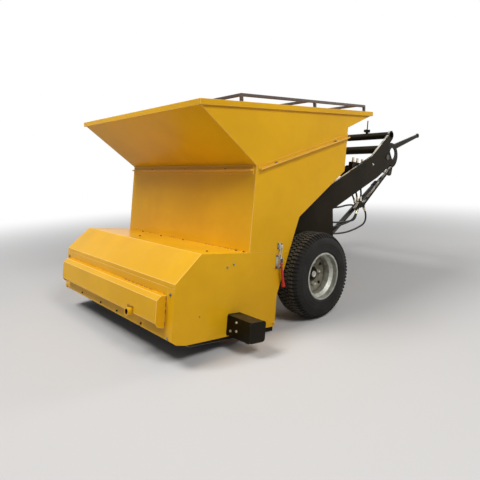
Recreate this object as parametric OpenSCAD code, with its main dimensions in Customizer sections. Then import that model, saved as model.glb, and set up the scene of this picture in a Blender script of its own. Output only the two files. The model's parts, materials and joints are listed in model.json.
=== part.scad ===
// Wheeled gravity asphalt paver: a flared hopper over a spreader box, on two wheels,
// with plate arms that rise to a tilting hitch frame.
// Millimetres. +X is the machine's right side, +Y points to the hitch, +Z is up.
// The machine is drawn square in its own frame, whose origin is the wheel axle, and the
// whole of it is then tipped nose up by park_pitch, as it stands on wheels and runner heels.
// Side profiles are drawn as [y, z] and extruded along X.

/* [Stance] */
// Nose-up angle at which the machine stands, degrees
park_pitch = 8.6; // [6:0.1:10]
// Tyre outer diameter
tyre_d = 736; // [700:2:740]
// Tyre width
tyre_w = 264; // [230:2:270]
// From the box side to the outer face of the wheel rim
wheel_out = 118; // [105:1:140]

/* [Spreader box] */
// Width over the side panels, the paving width
box_w = 1900; // [1700:10:2200]
// Thickness of the box sheet
box_t = 6; // [4:0.5:8]
// From the axle forward to the front face of the box
box_front = 1416; // [1360:2:1460]
// From the axle forward to the ridge where the cover turns level
ridge_front = 1220; // [1160:2:1260]
// Height of the level cover above the axle
cover_z = 198; // [180:1:220]
// Height of the cover's front edge above the axle
cover_front_z = 0; // [-30:1:30]
// Depth of the panels' lower edge below the axle
panel_drop = 422; // [400:1:430]
// From the axle forward to the panels' rear edge
panel_rear = 437; // [430:1:450]
// From the axle forward to the rear edge at the cover
panel_rear_top = 331; // [328:1:345]
// Depth at which the rear edge leans back to clear the tyre
relief_drop = 145; // [120:1:170]
// Width of the folded strip on the panels' front edge
strip_w = 88; // [35:1:100]

/* [Front housing] */
// How far the housing stands ahead of the front plate
housing_reach = 74; // [60:1:110]
// Depth of the housing's top below the axle
housing_top = 90; // [70:1:100]
// Height of the housing
housing_h = 182; // [150:1:210]
// Chamfer along the housing's front edge
housing_chamfer = 30; // [10:1:40]
// How far the housing's end plates reach below its front sheet
housing_foot = 44; // [20:1:60]
// Distance of the housing's ends from the folded strips
housing_inset = 10; // [2:1:40]
// Outer diameter of the pipe socket
pipe_d = 60; // [40:1:70]
// Bore of the pipe socket
pipe_bore = 42; // [30:1:48]
// Distance of the pipe socket from the centre plane
pipe_x = 500; // [400:2:600]

/* [Hopper] */
// Thickness of the hopper sheet
hopper_t = 6; // [4:0.5:8]
// From the axle forward to the hopper's front wall
hopper_front = 773; // [730:1:810]
// From the axle back to the hopper's rear wall
hopper_rear = 342; // [320:1:400]
// Height of the flange at the front wall
flange_front_z = 820; // [790:1:850]
// Height of the flange at the rear wall
flange_rear_z = 1240; // [1200:1:1280]
// Height of the foot of the rear wall
hopper_knee_z = 933; // [900:1:960]
// From the axle forward to the foot of the hopper's slope
slope_foot = 237; // [228:1:250]
// Height of the foot of the hopper's slope
slope_foot_z = 490; // [470:1:520]
// Height of one flange angle
flange_h = 32; // [25:1:45]
// How far the flange angles stand out
flange_out = 34; // [20:1:45]
// Gap between the flange angles' ends and the hopper's corner
flange_gap = 24; // [5:1:40]

/* [Funnel] */
// From the axle forward to the rim's front edge
rim_front = 1321; // [1250:1:1360]
// Height of the rim's front edge
rim_front_z = 1197; // [1170:1:1230]
// From the axle back to the rim's rear edge
rim_rear = 689; // [640:1:760]
// Height of the rim profile
rim_h = 40; // [30:1:50]
// How far the rim profile stands out
rim_out = 18; // [12:1:30]
// Height of the funnel's upright foot above the flange
funnel_foot = 40; // [32:1:60]
// Height of the same foot at the rear
funnel_rear_foot = 90; // [60:1:110]

/* [Chassis] */
// Clearance between an arm plate and its tyre
arm_gap = 23; // [12:1:40]
// Thickness of an arm plate
arm_t = 25; // [16:1:30]
// From the axle back to the hitch pivot
pivot_y = 1344; // [1320:2:1360]
// Height of the hitch pivot above the axle
pivot_z = 1190; // [1180:1:1200]
// Diameter of the hitch pivot pins
pivot_d = 60; // [50:1:70]
// Diameter of the cross tubes between the arms
cross_d = 114; // [90:1:130]
// Diameter of the top tube that the gussets carry
top_tube_d = 76; // [60:1:84]
// Width of the stay bars under the arms
stay_w = 25; // [16:1:32]
// Distance of the levelling screws from the centre plane
screw_x = 480; // [300:5:620]

/* [Wheels] */
// Diameter over the wheel's rim flanges
rim_d = 417; // [400:1:430]
// From the rim's outer face in to the disc's outer face
dish = 132; // [110:1:150]
// Number of lugs around the tyre
lug_n = 36; // [24:1:48]
// Height of the lugs
lug_h = 12; // [6:1:16]
// Circle of the wheel studs
stud_pcd = 205; // [190:1:210]
// Diameter of the hub's flange behind the disc
hub_flange_d = 240; // [235:1:250]
// Diameter of the hub body in the disc's middle
hub_d = 127; // [110:1:140]
// Diameter of the hub cap
cap_d = 68; // [50:1:80]
// Diameter of the five hand holes
hand_hole_d = 30; // [20:1:34]

/* [Hitch and cylinders] */
// From the arm plates in to the cylinders' middle plane
cyl_inset = 65; // [60:1:80]
// Outer diameter of a cylinder barrel
barrel_d = 50; // [42:1:60]
// Diameter of a cylinder gland
gland_d = 60; // [54:1:64]
// Diameter of a cylinder rod
rod_d = 28; // [20:1:35]
// From the axle back to the barrel's pin
barrel_y = 424; // [410:1:440]
// Height of the barrel's pin above the axle
barrel_z = 233; // [220:1:250]
// Length of the barrel from its pin to its gland's end
barrel_len = 1107; // [1080:1:1130]
// Diameter of the cylinder pins
cyl_pin_d = 25; // [20:1:30]
// Radius of the hitch plates' round heads
hitch_r = 140; // [120:1:150]
// Diameter of the round window in the hitch plates
hitch_hole_d = 130; // [80:1:150]
// Diameter of the bore in the hitch arms' ends
hook_d = 32; // [25:1:36]
// Diameter of the moving cross tube
hitch_tube_d = 90; // [70:1:100]

/* [Hoses] */
// Outer diameter of the hydraulic hoses
hose_d = 18; // [14:1:22]

/* [Hidden] */

$fn = 64;
yellow = [0.93, 0.68, 0.10];
black = [0.12, 0.12, 0.12];
zinc = [0.66, 0.67, 0.66];
steel = [0.75, 0.76, 0.78];
rubber = [0.10, 0.10, 0.10];
hose_black = [0.07, 0.07, 0.08];
red = [0.75, 0.12, 0.10];

half_w = box_w / 2;
rim_w = 246;
tyre_out = (tyre_w - rim_w) / 2;
axle_z = tyre_d / 2;
pinch = 0.3;

// Rim line: level on the floor when the machine stands
rim_rear_z = rim_front_z + (rim_front + rim_rear) * tan(park_pitch);

// Runner heels: the point that shares the weight with the wheels
heel_y = -(panel_rear + 12);
heel_z = (heel_y * sin(park_pitch) - axle_z) / cos(park_pitch);

// World position of a point [y, z] of the machine's frame, before the shift to the middle
function world_y(p) = p[0] * cos(park_pitch) + p[1] * sin(park_pitch);

// Places on the moving hitch, from its pivot
pivot = [pivot_y, pivot_z];
head = pivot + [140, 40];
crank = pivot + [140, -149];
hook = pivot + [720, 355];
hook_r = 26;

// The pipe socket lies across the housing's lower edge and stands out ahead of it
pipe_lead = 28;
pipe_z = -housing_top - housing_h - 1;
nose_y = world_y([-box_front - housing_reach - pipe_lead, pipe_z - pipe_d / 2]);
tail_y = world_y(hook) + hook_r;
middle_y = (nose_y + tail_y) / 2;

// Tips the machine's own frame onto the floor and puts the origin under its middle
module stand() {
    translate([0, -middle_y, axle_z]) rotate([-park_pitch, 0, 0]) children();
}

axle_d = 80;

// Extrudes a [y, z] profile from x0 to x1
module across(x0, x1) {
    translate([x0, 0, 0]) rotate([90, 0, 90]) linear_extrude(x1 - x0) children();
}

// A copy for side +1 (right) or -1 (left)
module on_side(side) {
    if (side > 0) children();
    else mirror([1, 0, 0]) children();
}

module both_sides() {
    for (side = [1, -1]) on_side(side) children();
}

// Outline of the spreader box seen from the side
front_chamfer = 38;
box_outline = [
    [-box_front, cover_front_z],
    [-ridge_front, cover_z],
    [-panel_rear_top, cover_z],
    [-panel_rear, -relief_drop],
    [-panel_rear, -panel_drop + 20],
    [-box_front + 120, -panel_drop],
    [-box_front + front_chamfer, -panel_drop + 14],
    [-box_front, -panel_drop + front_chamfer]
];
lip_h = 34;
strip_h = panel_drop - front_chamfer + cover_front_z - lip_h;

// A hole through the right-hand sheet at [y, z]
module sheet_hole(p, d, t) {
    translate([half_w - t - 1, p[0], p[1]]) rotate([0, 90, 0]) cylinder(d = d, h = t + 2);
}

corner_hole_inset = 19;
drain_hole = [-1201, -237];

module side_panel() {
    difference() {
        across(half_w - box_t, half_w) polygon(box_outline);
        sheet_hole(drain_hole, 10, box_t);
        sheet_hole([-panel_rear - corner_hole_inset, -panel_drop + 40], 12, box_t);
    }
    // folded strip on the front edge
    translate([half_w - strip_w, -box_front, -panel_drop + front_chamfer])
        cube([strip_w - box_t, box_t, strip_h]);
}

module side_panel_right() color(yellow) stand() side_panel();
module side_panel_left() color(yellow) stand() on_side(-1) side_panel();

module box_cover() color(yellow) stand() {
    // one sheet: short lip, slope and level part up to the hopper
    across(-half_w + box_t, half_w - box_t) polygon([
        [-box_front, cover_front_z],
        [-ridge_front, cover_z],
        [-hopper_front, cover_z],
        [-hopper_front, cover_z - box_t],
        [-ridge_front + 3, cover_z - box_t],
        [-box_front + box_t, cover_front_z - 5],
        [-box_front + box_t, cover_front_z - lip_h],
        [-box_front, cover_front_z - lip_h]
    ]);
}

module front_plate() color(yellow) stand() {
    inner = half_w - strip_w;
    translate([-inner, -box_front, -panel_drop + front_chamfer]) cube([2 * inner, box_t, strip_h]);
}

housing_half = half_w - strip_w - housing_inset;

housing_low = -housing_top - housing_h;

// Side view of the housing: top, chamfer, front sheet and the end plates' slanted foot
housing_outline = [
    [-box_front, -housing_top],
    [-box_front - housing_reach + housing_chamfer, -housing_top],
    [-box_front - housing_reach, -housing_top - housing_chamfer],
    [-box_front - housing_reach, housing_low],
    [-box_front - housing_reach + 20, housing_low - housing_foot + 14],
    [-box_front, housing_low - housing_foot]
];
housing_hollow = [
    [-box_front, -housing_top - box_t],
    [-box_front - housing_reach + housing_chamfer + box_t / 2, -housing_top - box_t],
    [-box_front - housing_reach + box_t, -housing_top - housing_chamfer - box_t / 2],
    [-box_front - housing_reach + box_t, housing_low - housing_foot],
    [-box_front, housing_low - housing_foot]
];

module front_housing() color(yellow) stand() {
    difference() {
        across(-housing_half, housing_half) polygon(housing_outline);
        // a folded sheet between two end plates, open below and towards the front plate
        across(-housing_half + box_t, housing_half - box_t) polygon(housing_hollow);
        pipe_notch();
    }
}

// The front sheet's lower edge is cut out round the pipe
notch_w = 96;
notch_top = 12;

module pipe_notch() {
    translate([pipe_x - notch_w / 2, -box_front - housing_reach - 1, housing_low - 20])
        cube([notch_w, box_t + 2, pipe_z + pipe_d / 2 + notch_top - housing_low + 20]);
}

module pipe_socket() color(yellow) stand() {
    length = housing_reach + pipe_lead;
    translate([pipe_x, -box_front - housing_reach - pipe_lead, pipe_z]) rotate([-90, 0, 0]) difference() {
        cylinder(d = pipe_d, h = length);
        translate([0, 0, -1]) cylinder(d = pipe_bore, h = length - 19);
    }
}

// Height of the rear wall's lower edge over the panels' lower edge
rear_gap = 60;

module box_rear_wall() color(yellow) stand() {
    across(-half_w + box_t, half_w - box_t) polygon([
        [-panel_rear_top - box_t, cover_z],
        [-panel_rear_top, cover_z],
        [-panel_rear, -relief_drop],
        [-panel_rear, -panel_drop + rear_gap],
        [-panel_rear - box_t, -panel_drop + rear_gap],
        [-panel_rear - box_t, -relief_drop]
    ]);
}

// Inner plate that ends the material chamber towards the front
strike_gap = 70;

module strike_off() color(yellow) stand() {
    across(-half_w + box_t, half_w - box_t) polygon([
        [-hopper_front, cover_z],
        [-hopper_front + hopper_t, cover_z],
        [-hopper_front + hopper_t, -panel_drop + strike_gap],
        [-hopper_front, -panel_drop + strike_gap]
    ]);
}

screed_t = 12;
screed_rear = -hopper_front;

module screed() color(black) stand() {
    inner = half_w - box_t - runner_w - pinch;
    across(-inner, inner) polygon([
        [screed_rear, -panel_drop + 120],
        [screed_rear, -panel_drop + 90],
        [screed_rear - 60, -panel_drop + 32],
        [-box_front + box_t, -panel_drop + 40],
        [-box_front + box_t, -panel_drop + 40 + screed_t],
        [screed_rear - 56, -panel_drop + 32 + screed_t],
        [screed_rear - screed_t, -panel_drop + 94],
        [screed_rear - screed_t, -panel_drop + 120]
    ]);
}

runner_w = 50;
runner_x = half_w - box_t;

module skid_runners() color(black) stand() {
    both_sides() across(runner_x - runner_w, runner_x) polygon([
        [heel_y, heel_z],
        [heel_y, -panel_drop + 56],
        [-box_front + 80, -panel_drop + 56],
        [-box_front + 80, -panel_drop + 20],
        [-box_front + 150, heel_z]
    ]);
}

// Outline of the hopper's side sheet
hopper_side_outline = [
    [-hopper_front, cover_z],
    [-hopper_front, flange_front_z],
    [hopper_rear, flange_rear_z],
    [hopper_rear, hopper_knee_z],
    [-slope_foot, slope_foot_z],
    [-panel_rear_top, cover_z]
];

module hopper_side() {
    across(half_w - hopper_t, half_w) polygon(hopper_side_outline);
}

module hopper_side_right() color(yellow) stand() hopper_side();
module hopper_side_left() color(yellow) stand() on_side(-1) hopper_side();

module hopper_front_wall() {
    across(-half_w + hopper_t, half_w - hopper_t) polygon([
        [-hopper_front, cover_z],
        [-hopper_front, flange_front_z],
        [-hopper_front + hopper_t, flange_front_z + 2],
        [-hopper_front + hopper_t, cover_z]
    ]);
}

module hopper_front() color(yellow) stand() hopper_front_wall();

module hopper_rear_wall() {
    across(-half_w + hopper_t, half_w - hopper_t) polygon([
        [-panel_rear_top - hopper_t, cover_z],
        [-slope_foot - hopper_t, slope_foot_z + 2],
        [hopper_rear - hopper_t, hopper_knee_z + 3],
        [hopper_rear - hopper_t, flange_rear_z - 2],
        [hopper_rear, flange_rear_z],
        [hopper_rear, hopper_knee_z],
        [-slope_foot, slope_foot_z],
        [-panel_rear_top, cover_z]
    ]);
}

module hopper_rear() color(yellow) stand() hopper_rear_wall();

flange_t = 6;
flange_slope = (flange_rear_z - flange_front_z) / (hopper_rear + hopper_front);
function flange_line(y) = flange_front_z + (y + hopper_front) * flange_slope;

// Four bars round the hopper, from low to high about the flange line, standing out by out
module flange_bars(low, high, out) {
    f = -hopper_front;
    r = hopper_rear;
    bar_half = half_w - flange_gap;
    both_sides() across(half_w, half_w + out) polygon([
        [f + flange_gap, flange_line(f + flange_gap) + low],
        [r, flange_line(r) + low],
        [r, flange_line(r) + high],
        [f + flange_gap, flange_line(f + flange_gap) + high]
    ]);
    across(-bar_half, bar_half) {
        translate([f - out, flange_line(f) + low]) square([out, high - low]);
        translate([r, flange_line(r) + low]) square([out, high - low]);
    }
}

// Angle bars: an upright leg against the sheet and a level leg at the joint
module lower_flange() color(yellow) stand() {
    flange_bars(-flange_h, 0, flange_t);
    flange_bars(-flange_t, 0, flange_out);
}

module upper_flange() color(yellow) stand() {
    flange_bars(0, flange_h, flange_t);
    flange_bars(0, flange_t, flange_out);
}

funnel_side_outline = [
    [-hopper_front, flange_front_z],
    [-hopper_front, flange_front_z + funnel_foot],
    [-rim_front, rim_front_z],
    [rim_rear, rim_rear_z],
    [hopper_rear, flange_rear_z + funnel_rear_foot],
    [hopper_rear, flange_rear_z]
];

module funnel_side() {
    across(half_w - hopper_t, half_w) polygon(funnel_side_outline);
}

module funnel_side_right() color(yellow) stand() funnel_side();
module funnel_side_left() color(yellow) stand() on_side(-1) funnel_side();

module funnel_front_wall() {
    across(-half_w + hopper_t, half_w - hopper_t) polygon([
        [-hopper_front, flange_front_z],
        [-hopper_front, flange_front_z + funnel_foot],
        [-rim_front, rim_front_z],
        [-rim_front + hopper_t, rim_front_z + hopper_t * tan(park_pitch)],
        [-hopper_front + hopper_t, flange_front_z + funnel_foot + 4],
        [-hopper_front + hopper_t, flange_front_z + 2]
    ]);
}

module funnel_front() color(yellow) stand() funnel_front_wall();

module funnel_rear_wall() {
    across(-half_w + hopper_t, half_w - hopper_t) polygon([
        [hopper_rear, flange_rear_z],
        [hopper_rear, flange_rear_z + funnel_rear_foot],
        [rim_rear, rim_rear_z],
        [rim_rear - hopper_t, rim_rear_z - hopper_t * tan(park_pitch)],
        [hopper_rear - hopper_t, flange_rear_z + funnel_rear_foot + 4],
        [hopper_rear - hopper_t, flange_rear_z - 2]
    ]);
}

module funnel_rear() color(yellow) stand() funnel_rear_wall();

// Draws in the rim's own plane: x across, y along the rim from its front edge
rim_len = (rim_front + rim_rear) / cos(park_pitch);
rim_seat = 0.05;
module in_rim_plane() {
    translate([0, -rim_front, rim_front_z + rim_seat]) rotate([park_pitch, 0, 0]) children();
}

// A frame in the rim's plane whose four sides lie from inner to outer past the funnel's edge
module rim_frame(inner, outer, z0, z1) {
    difference() {
        translate([-half_w - outer, -outer, z0])
            cube([2 * (half_w + outer), rim_len + 2 * outer, z1 - z0]);
        translate([-half_w - inner, -inner, z0 - 1])
            cube([2 * (half_w + inner), rim_len + 2 * inner, z1 - z0 + 2]);
    }
}

// Folded channel, open inwards: two flanges and an outer web
rim_t = 5;

module rim() color(yellow) stand() in_rim_plane() {
    rim_frame(rim_out - rim_t, rim_out, 0, rim_h);
    rim_frame(-hopper_t, rim_out - rim_t / 2, 0, rim_t);
    rim_frame(-hopper_t, rim_out - rim_t / 2, rim_h - rim_t, rim_h);
}

guard_tube = 22;
guard_h = 58;
guard_rows = [345, 1088, 1785];
guard_posts = [345, 1168, 1901];
guard_x = half_w + guard_tube / 2 - hopper_t;

module guard_frame() color(black) stand() {
    first = guard_posts[0];
    last = guard_posts[len(guard_posts) - 1] + guard_tube;
    in_rim_plane() translate([0, 0, rim_h]) {
        for (side = [1, -1]) {
            translate([side * guard_x - guard_tube / 2, first, guard_h - guard_tube])
                cube([guard_tube, last - first, guard_tube]);
            for (at = guard_posts)
                translate([side * guard_x - guard_tube / 2, at, 0]) cube([guard_tube, guard_tube, guard_h - guard_tube]);
        }
        for (at = guard_rows)
            translate([-guard_x, at, guard_h - guard_tube]) cube([2 * guard_x, guard_tube, guard_tube]);
    }
}

bracket_len = 245;
bracket_y = -942;
bracket_w = 150;
bracket_z = -250;
bracket_h = 150;
bracket_t = 10;
bracket_depth = 127;
bracket_r = 22;

// A rectangle with round corners
module round_plate(w, h, r) {
    translate([r, 0]) square([w - 2 * r, h]);
    translate([0, r]) square([w, h - 2 * r]);
    for (y = [r, w - r], z = [r, h - r]) translate([y, z]) circle(r = r);
}

module side_brackets() color(black) stand() {
    both_sides() {
        // top and front plates
        translate([half_w, bracket_y, bracket_z - bracket_t])
            cube([bracket_len - bracket_t, bracket_depth, bracket_t]);
        translate([half_w, bracket_y, bracket_z - bracket_h])
            cube([bracket_len - bracket_t, bracket_t, bracket_h - bracket_t]);
        // end plate with rounded corners
        across(half_w + bracket_len - bracket_t, half_w + bracket_len)
            translate([bracket_y, bracket_z - bracket_h]) round_plate(bracket_w, bracket_h, bracket_r);
    }
}

// Toggle latch that holds the hopper on the box: [y, z] places on the side sheets
latch_y = -452;
latch_plate = [64, 112];
latch_plate_z = 66;
catch_plate = [54, 50];
catch_z = 222;
cheek_out = 32;
bow_d = 7;
bow_x = half_w + 22;
grip_x = half_w + 35;
toggle_z = latch_plate_z + 44;
lever_lean = 14.5;

module latches() color(zinc) stand() both_sides() {
    // base plate with two cheeks
    translate([half_w, latch_y - latch_plate[0] / 2, latch_plate_z]) cube([4, latch_plate[0], latch_plate[1]]);
    for (dy = [-18, 15]) translate([half_w + 3, latch_y + dy, latch_plate_z + 24]) cube([cheek_out, 3, 72]);
    // the bow's cross-piece between the cheeks, and its two rods up to the catch
    translate([bow_x, latch_y - 15, latch_plate_z + 84]) rotate([-90, 0, 0]) cylinder(d = 12, h = 30);
    for (dy = [-9, 9]) translate([bow_x, latch_y + dy, latch_plate_z + 84])
        cylinder(d = bow_d, h = catch_z + 34 - latch_plate_z - 84);
    translate([bow_x, latch_y - 13, catch_z + 34]) rotate([-90, 0, 0]) cylinder(d = bow_d, h = 26);
    // catch: a plate with a hook that the bow's end lies in
    translate([half_w, latch_y - catch_plate[0] / 2, catch_z]) cube([4, catch_plate[0], catch_plate[1]]);
    translate([half_w + 3, latch_y - 5, catch_z + 10]) cube([bow_x - half_w + 4, 10, 21]);
}

// Lever between the cheeks, with a red grip that hangs clear of the tyre
module latch_handles() color(red) stand() both_sides() {
    translate([grip_x, latch_y - 15 + pinch, toggle_z]) rotate([-90, 0, 0])
        cylinder(d = 16, h = 30 - 2 * pinch);
    translate([grip_x, latch_y, toggle_z]) rotate([180 + lever_lean, 0, 0]) {
        cylinder(d = 16, h = 60);
        translate([0, 0, 50]) cylinder(d = 22, h = 118);
        translate([0, 0, 168]) cylinder(d = 32, h = 22);
    }
}

wheel_in = half_w + wheel_out + tyre_out - tyre_w;
arm_x = wheel_in - arm_gap;

// Arm plate: it seats on the box's rear wall and under the hopper's slope, holds the axle,
// and rises to a cut end. The gusset on it carries the top tube.
arm_slope = 28.26;
leg_corner = [431, 574];
arm_end_top = pivot + [12, 145];
arm_end = [[1374, 1274], [1424, 1204], [1472, 1152]];
arm_belly = [1181, 956];
top_tube = pivot + [40, 250];
function arm_top(y) = arm_end_top[1] + (y - arm_end_top[0]) * tan(arm_slope);

plate_outline = [
    [-panel_rear, -relief_drop],
    [-panel_rear_top, cover_z],
    [-slope_foot, slope_foot_z],
    [hopper_rear, hopper_knee_z],
    [hopper_rear, arm_top(hopper_rear)],
    arm_end_top,
    arm_end[0],
    arm_end[1],
    arm_end[2],
    arm_belly,
    leg_corner,
    [470, 333],
    [470, 200],
    [120, -90],
    [-120, -90]
];

gusset_outline = [
    [1020, arm_top(1020) - 10],
    top_tube + [-50, -5],
    top_tube,
    top_tube + [40, -30],
    arm_end_top + [-6, -10],
    [1230, arm_top(1230) - 30]
];

// Stay bar from the arm's end down to the hose block
stay_foot = [982, 655];
stay_head = [1526, 1145];
stay_angle = atan2(stay_head[1] - stay_foot[1], stay_head[0] - stay_foot[0]);
stay_len = norm(stay_head - stay_foot);

module chassis_plate() {
    across(arm_x - arm_t, arm_x) difference() {
        union() {
            polygon(plate_outline);
            polygon(gusset_outline);
            translate(top_tube) circle(r = top_tube_d / 2 + 9);
            translate([barrel_y, barrel_z]) circle(r = 52);
        }
        translate(pivot) circle(d = pivot_d + 0.1);
        translate(top_tube) circle(d = top_tube_d + 2 * pinch);
        circle(d = axle_d + 2 * pinch);
    }
    // pin that carries the cylinder
    translate([cyl_x - 26, barrel_y, barrel_z]) rotate([0, 90, 0])
        cylinder(d = cyl_pin_d, h = arm_x - arm_t / 2 - cyl_x + 26);
}

module stay_bar() {
    across(arm_x - arm_t, arm_x) {
        translate(stay_foot) rotate(stay_angle) square([stay_len, stay_w]);
        polygon([arm_end[2] + [-72, -27], arm_end[2] + [-17, 13], stay_head + [-16, 18], stay_head + [-75, -45]]);
    }
}

module chassis_plate_right() color(black) stand() {
    chassis_plate();
    stay_bar();
    hose_block();
    hose_bulkhead();
}

module chassis_plate_left() color(black) stand() on_side(-1) {
    chassis_plate();
    stay_bar();
}

// Cross tubes as [y, z, diameter, half length, wall]
cross_tubes = [
    [1060, 1010, cross_d, arm_x - arm_t, 8],
    [314, 640, cross_d, arm_x - arm_t, 8],
    [top_tube[0], top_tube[1], top_tube_d, arm_x, 6]
];

module cross_members() color(black) stand() {
    for (t = cross_tubes) across(-t[3], t[3]) translate([t[0], t[1]]) difference() {
        circle(d = t[2]);
        circle(d = t[2] - 2 * t[4]);
    }
}

// Levelling screws: a collar on the top tube, a star knob and a thin screw through both
knob_d = 75;
knob_z = 66;
screw_len = 144;

module levelling_screws() color(black) stand() both_sides() {
    translate([screw_x, top_tube[0], top_tube[1]]) {
        translate([0, 0, top_tube_d / 2 - 3]) difference() {
            cylinder(d = 30, h = knob_z - top_tube_d / 2 - 9);
            translate([-20, 0, 3 - top_tube_d / 2]) rotate([0, 90, 0]) cylinder(d = top_tube_d + 2 * pinch, h = 40);
        }
        translate([0, 0, knob_z - 13]) {
            cylinder(d = 46, h = 26);
            for (i = [0 : 4]) rotate(72 * i) translate([knob_d / 2 - 12, 0, 0]) cylinder(d = 24, h = 26);
        }
        translate([0, 0, top_tube_d / 2 + 2]) cylinder(d = 12, h = screw_len);
    }
}

hub_face = half_w + wheel_out - dish;
hub_back = 60;
stub_d = 45;

module axle() color(black) stand() {
    beam = hub_face - hub_back - 1;
    translate([-beam, 0, 0]) rotate([0, 90, 0]) cylinder(d = axle_d, h = 2 * beam);
    both_sides() translate([beam, 0, 0]) rotate([0, 90, 0]) cylinder(d = stub_d, h = hub_back + 10);
}

// Wheels are turned about X, so they are drawn about Z and laid over
module on_axle(side) {
    on_side(side) translate([half_w + wheel_out, 0, 0]) rotate([0, 90, 0]) children();
}

bead_r = rim_d / 2 - 14;
// the lugs' outer corners lie on the tyre's diameter
lug_top = sqrt(pow(tyre_d / 2, 2) - 17 * 17);

module tyre() {
    r = tyre_d / 2 - lug_h;
    w = tyre_w;
    skin = 18;
    // half of the section, from the bead up to the middle of the tread
    half = [
        [bead_r + pinch, -13],
        [rim_d / 2 + 1, -7],
        [rim_d / 2 + 6, 0],
        [rim_d / 2 + 40, tyre_out],
        [r - 60, tyre_out],
        [r - 16, tyre_out - 22],
        [r, tyre_out - 48],
        [r - skin, tyre_out - 54],
        [r - skin - 8, tyre_out - 36],
        [r - 62, tyre_out - skin],
        [rim_d / 2 + 36, tyre_out - skin],
        [bead_r + pinch, -36]
    ];
    rotate_extrude($fn = 72) polygon(concat(
        [for (i = [0 : 6]) half[i]],
        [for (i = [6 : -1 : 0]) [half[i][0], -rim_w - half[i][1]]],
        [for (i = [11 : -1 : 7]) [half[i][0], -rim_w - half[i][1]]],
        [for (i = [7 : 11]) half[i]]
    ));
    // two staggered rows of blocks
    for (i = [0 : lug_n - 1]) rotate(i * 360 / lug_n) {
        translate([r - 4, -17, tyre_out - w / 2 + 6]) cube([lug_top - r + 4, 34, w / 2 - 50]);
        rotate(180 / lug_n) translate([r - 4, -17, tyre_out - w + 44]) cube([lug_top - r + 4, 34, w / 2 - 50]);
    }
}

module tyre_right() color(rubber) stand() on_axle(1) tyre();
module tyre_left() color(rubber) stand() on_axle(-1) tyre();

// The disc lies flat under the nuts and then cones out to the rim's well
disc_t = 12;
disc_flat_r = stud_pcd / 2 + 20;
well_r = bead_r - 24;
nut_d = 30;

module wheel() {
    ro = rim_d / 2;
    depth = rim_w - 6;
    difference() {
        union() {
            rotate_extrude($fn = 72) polygon([
                [ro, 0], [ro, -6], [bead_r, -12], [bead_r, -40], [well_r, -70],
                [well_r, -depth + 40], [bead_r, -depth + 30], [bead_r, -depth + 6],
                [ro, -depth], [ro, -depth - 6],
                [bead_r - 8, -depth - 6], [well_r - 8, -depth + 36],
                [well_r - 8, -dish - 8], [disc_flat_r, -dish - 20],
                [disc_flat_r, -dish - 8], [well_r - 8, -dish + 4],
                [well_r - 8, -66], [bead_r - 10, -40], [bead_r - 8, 0]
            ]);
            translate([0, 0, -dish - 20]) cylinder(r = disc_flat_r, h = disc_t);
        }
        translate([0, 0, -dish - 21]) cylinder(d = hub_d + 2 * pinch, h = disc_t + 2);
        for (i = [0 : 4]) rotate(i * 72 + 18) {
            translate([stud_pcd / 2, 0, -dish - 21]) cylinder(d = 20.1, h = 14, $fn = 24);
            rotate(36) translate([(disc_flat_r + well_r - 8) / 2, 0, -dish - 30]) cylinder(d = hand_hole_d, h = 40);
        }
    }
}

module wheel_right() color(zinc) stand() on_axle(1) wheel();
module wheel_left() color(zinc) stand() on_axle(-1) wheel();

module hub() {
    difference() {
        union() {
            translate([0, 0, -dish - hub_back]) cylinder(d = hub_flange_d, h = hub_back - 20);
            translate([0, 0, -dish - hub_back]) cylinder(d = hub_d, h = hub_back + 10);
            translate([0, 0, -dish + 10]) cylinder(d = cap_d, h = 22);
            for (i = [0 : 4]) rotate(i * 72 + 18) translate([stud_pcd / 2, 0, -dish - 30]) {
                cylinder(d = 20, h = 44, $fn = 24);
                translate([0, 0, 22]) cylinder(d = nut_d, h = 16, $fn = 6);
            }
        }
        translate([0, 0, -dish - hub_back - 1]) cylinder(d = stub_d + 0.1, h = hub_back + 13);
    }
}

module hub_right() color(black) stand() on_axle(1) hub();
module hub_left() color(black) stand() on_axle(-1) hub();

hitch_t = 20;
hitch_x = arm_x - arm_t - 12;
pin_fit = 0.1;

// Bar outline between two places, w0 wide at the first and w1 at the second
function bar_outline(a, b, w0, w1) = let (u = (b - a) / norm(b - a), n = [-u[1], u[0]]) [
    a + n * w0 / 2, a - n * w0 / 2, b - n * w1 / 2, b + n * w1 / 2
];

module hitch_arm() {
    across(hitch_x - hitch_t, hitch_x) difference() {
        union() {
            translate(pivot) circle(r = 62);
            translate(head) circle(r = hitch_r);
            polygon(bar_outline(pivot, head, 124, 2 * hitch_r - 20));
            translate(crank) circle(r = 40);
            polygon(bar_outline(head, crank, 150, 80));
            polygon(bar_outline(head + [16, 88], hook, 62, 36));
            translate(hook) circle(r = hook_r);
        }
        translate(pivot) circle(d = pivot_d + pin_fit);
        translate(head + [30, 25]) circle(d = hitch_hole_d);
        translate(crank) circle(d = cyl_pin_d + pin_fit);
        translate(hook) circle(d = hook_d);
    }
}

module hitch_arm_right() color(black) stand() hitch_arm();
module hitch_arm_left() color(black) stand() on_side(-1) hitch_arm();

module hitch_tube() color(black) stand() across(-hitch_x + hitch_t, hitch_x - hitch_t)
    translate(pivot + [60, 100]) difference() {
        circle(d = hitch_tube_d);
        circle(d = hitch_tube_d - 12);
    }

module hitch_pins() color(steel) stand() both_sides() {
    translate([hitch_x - hitch_t - 8, pivot[0], pivot[1]]) rotate([0, 90, 0])
        cylinder(d = pivot_d, h = arm_x - hitch_x + hitch_t + 14);
    translate([cyl_x - 26, crank[0], crank[1]]) rotate([0, 90, 0])
        cylinder(d = cyl_pin_d, h = hitch_x - cyl_x + 26);
}

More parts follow.
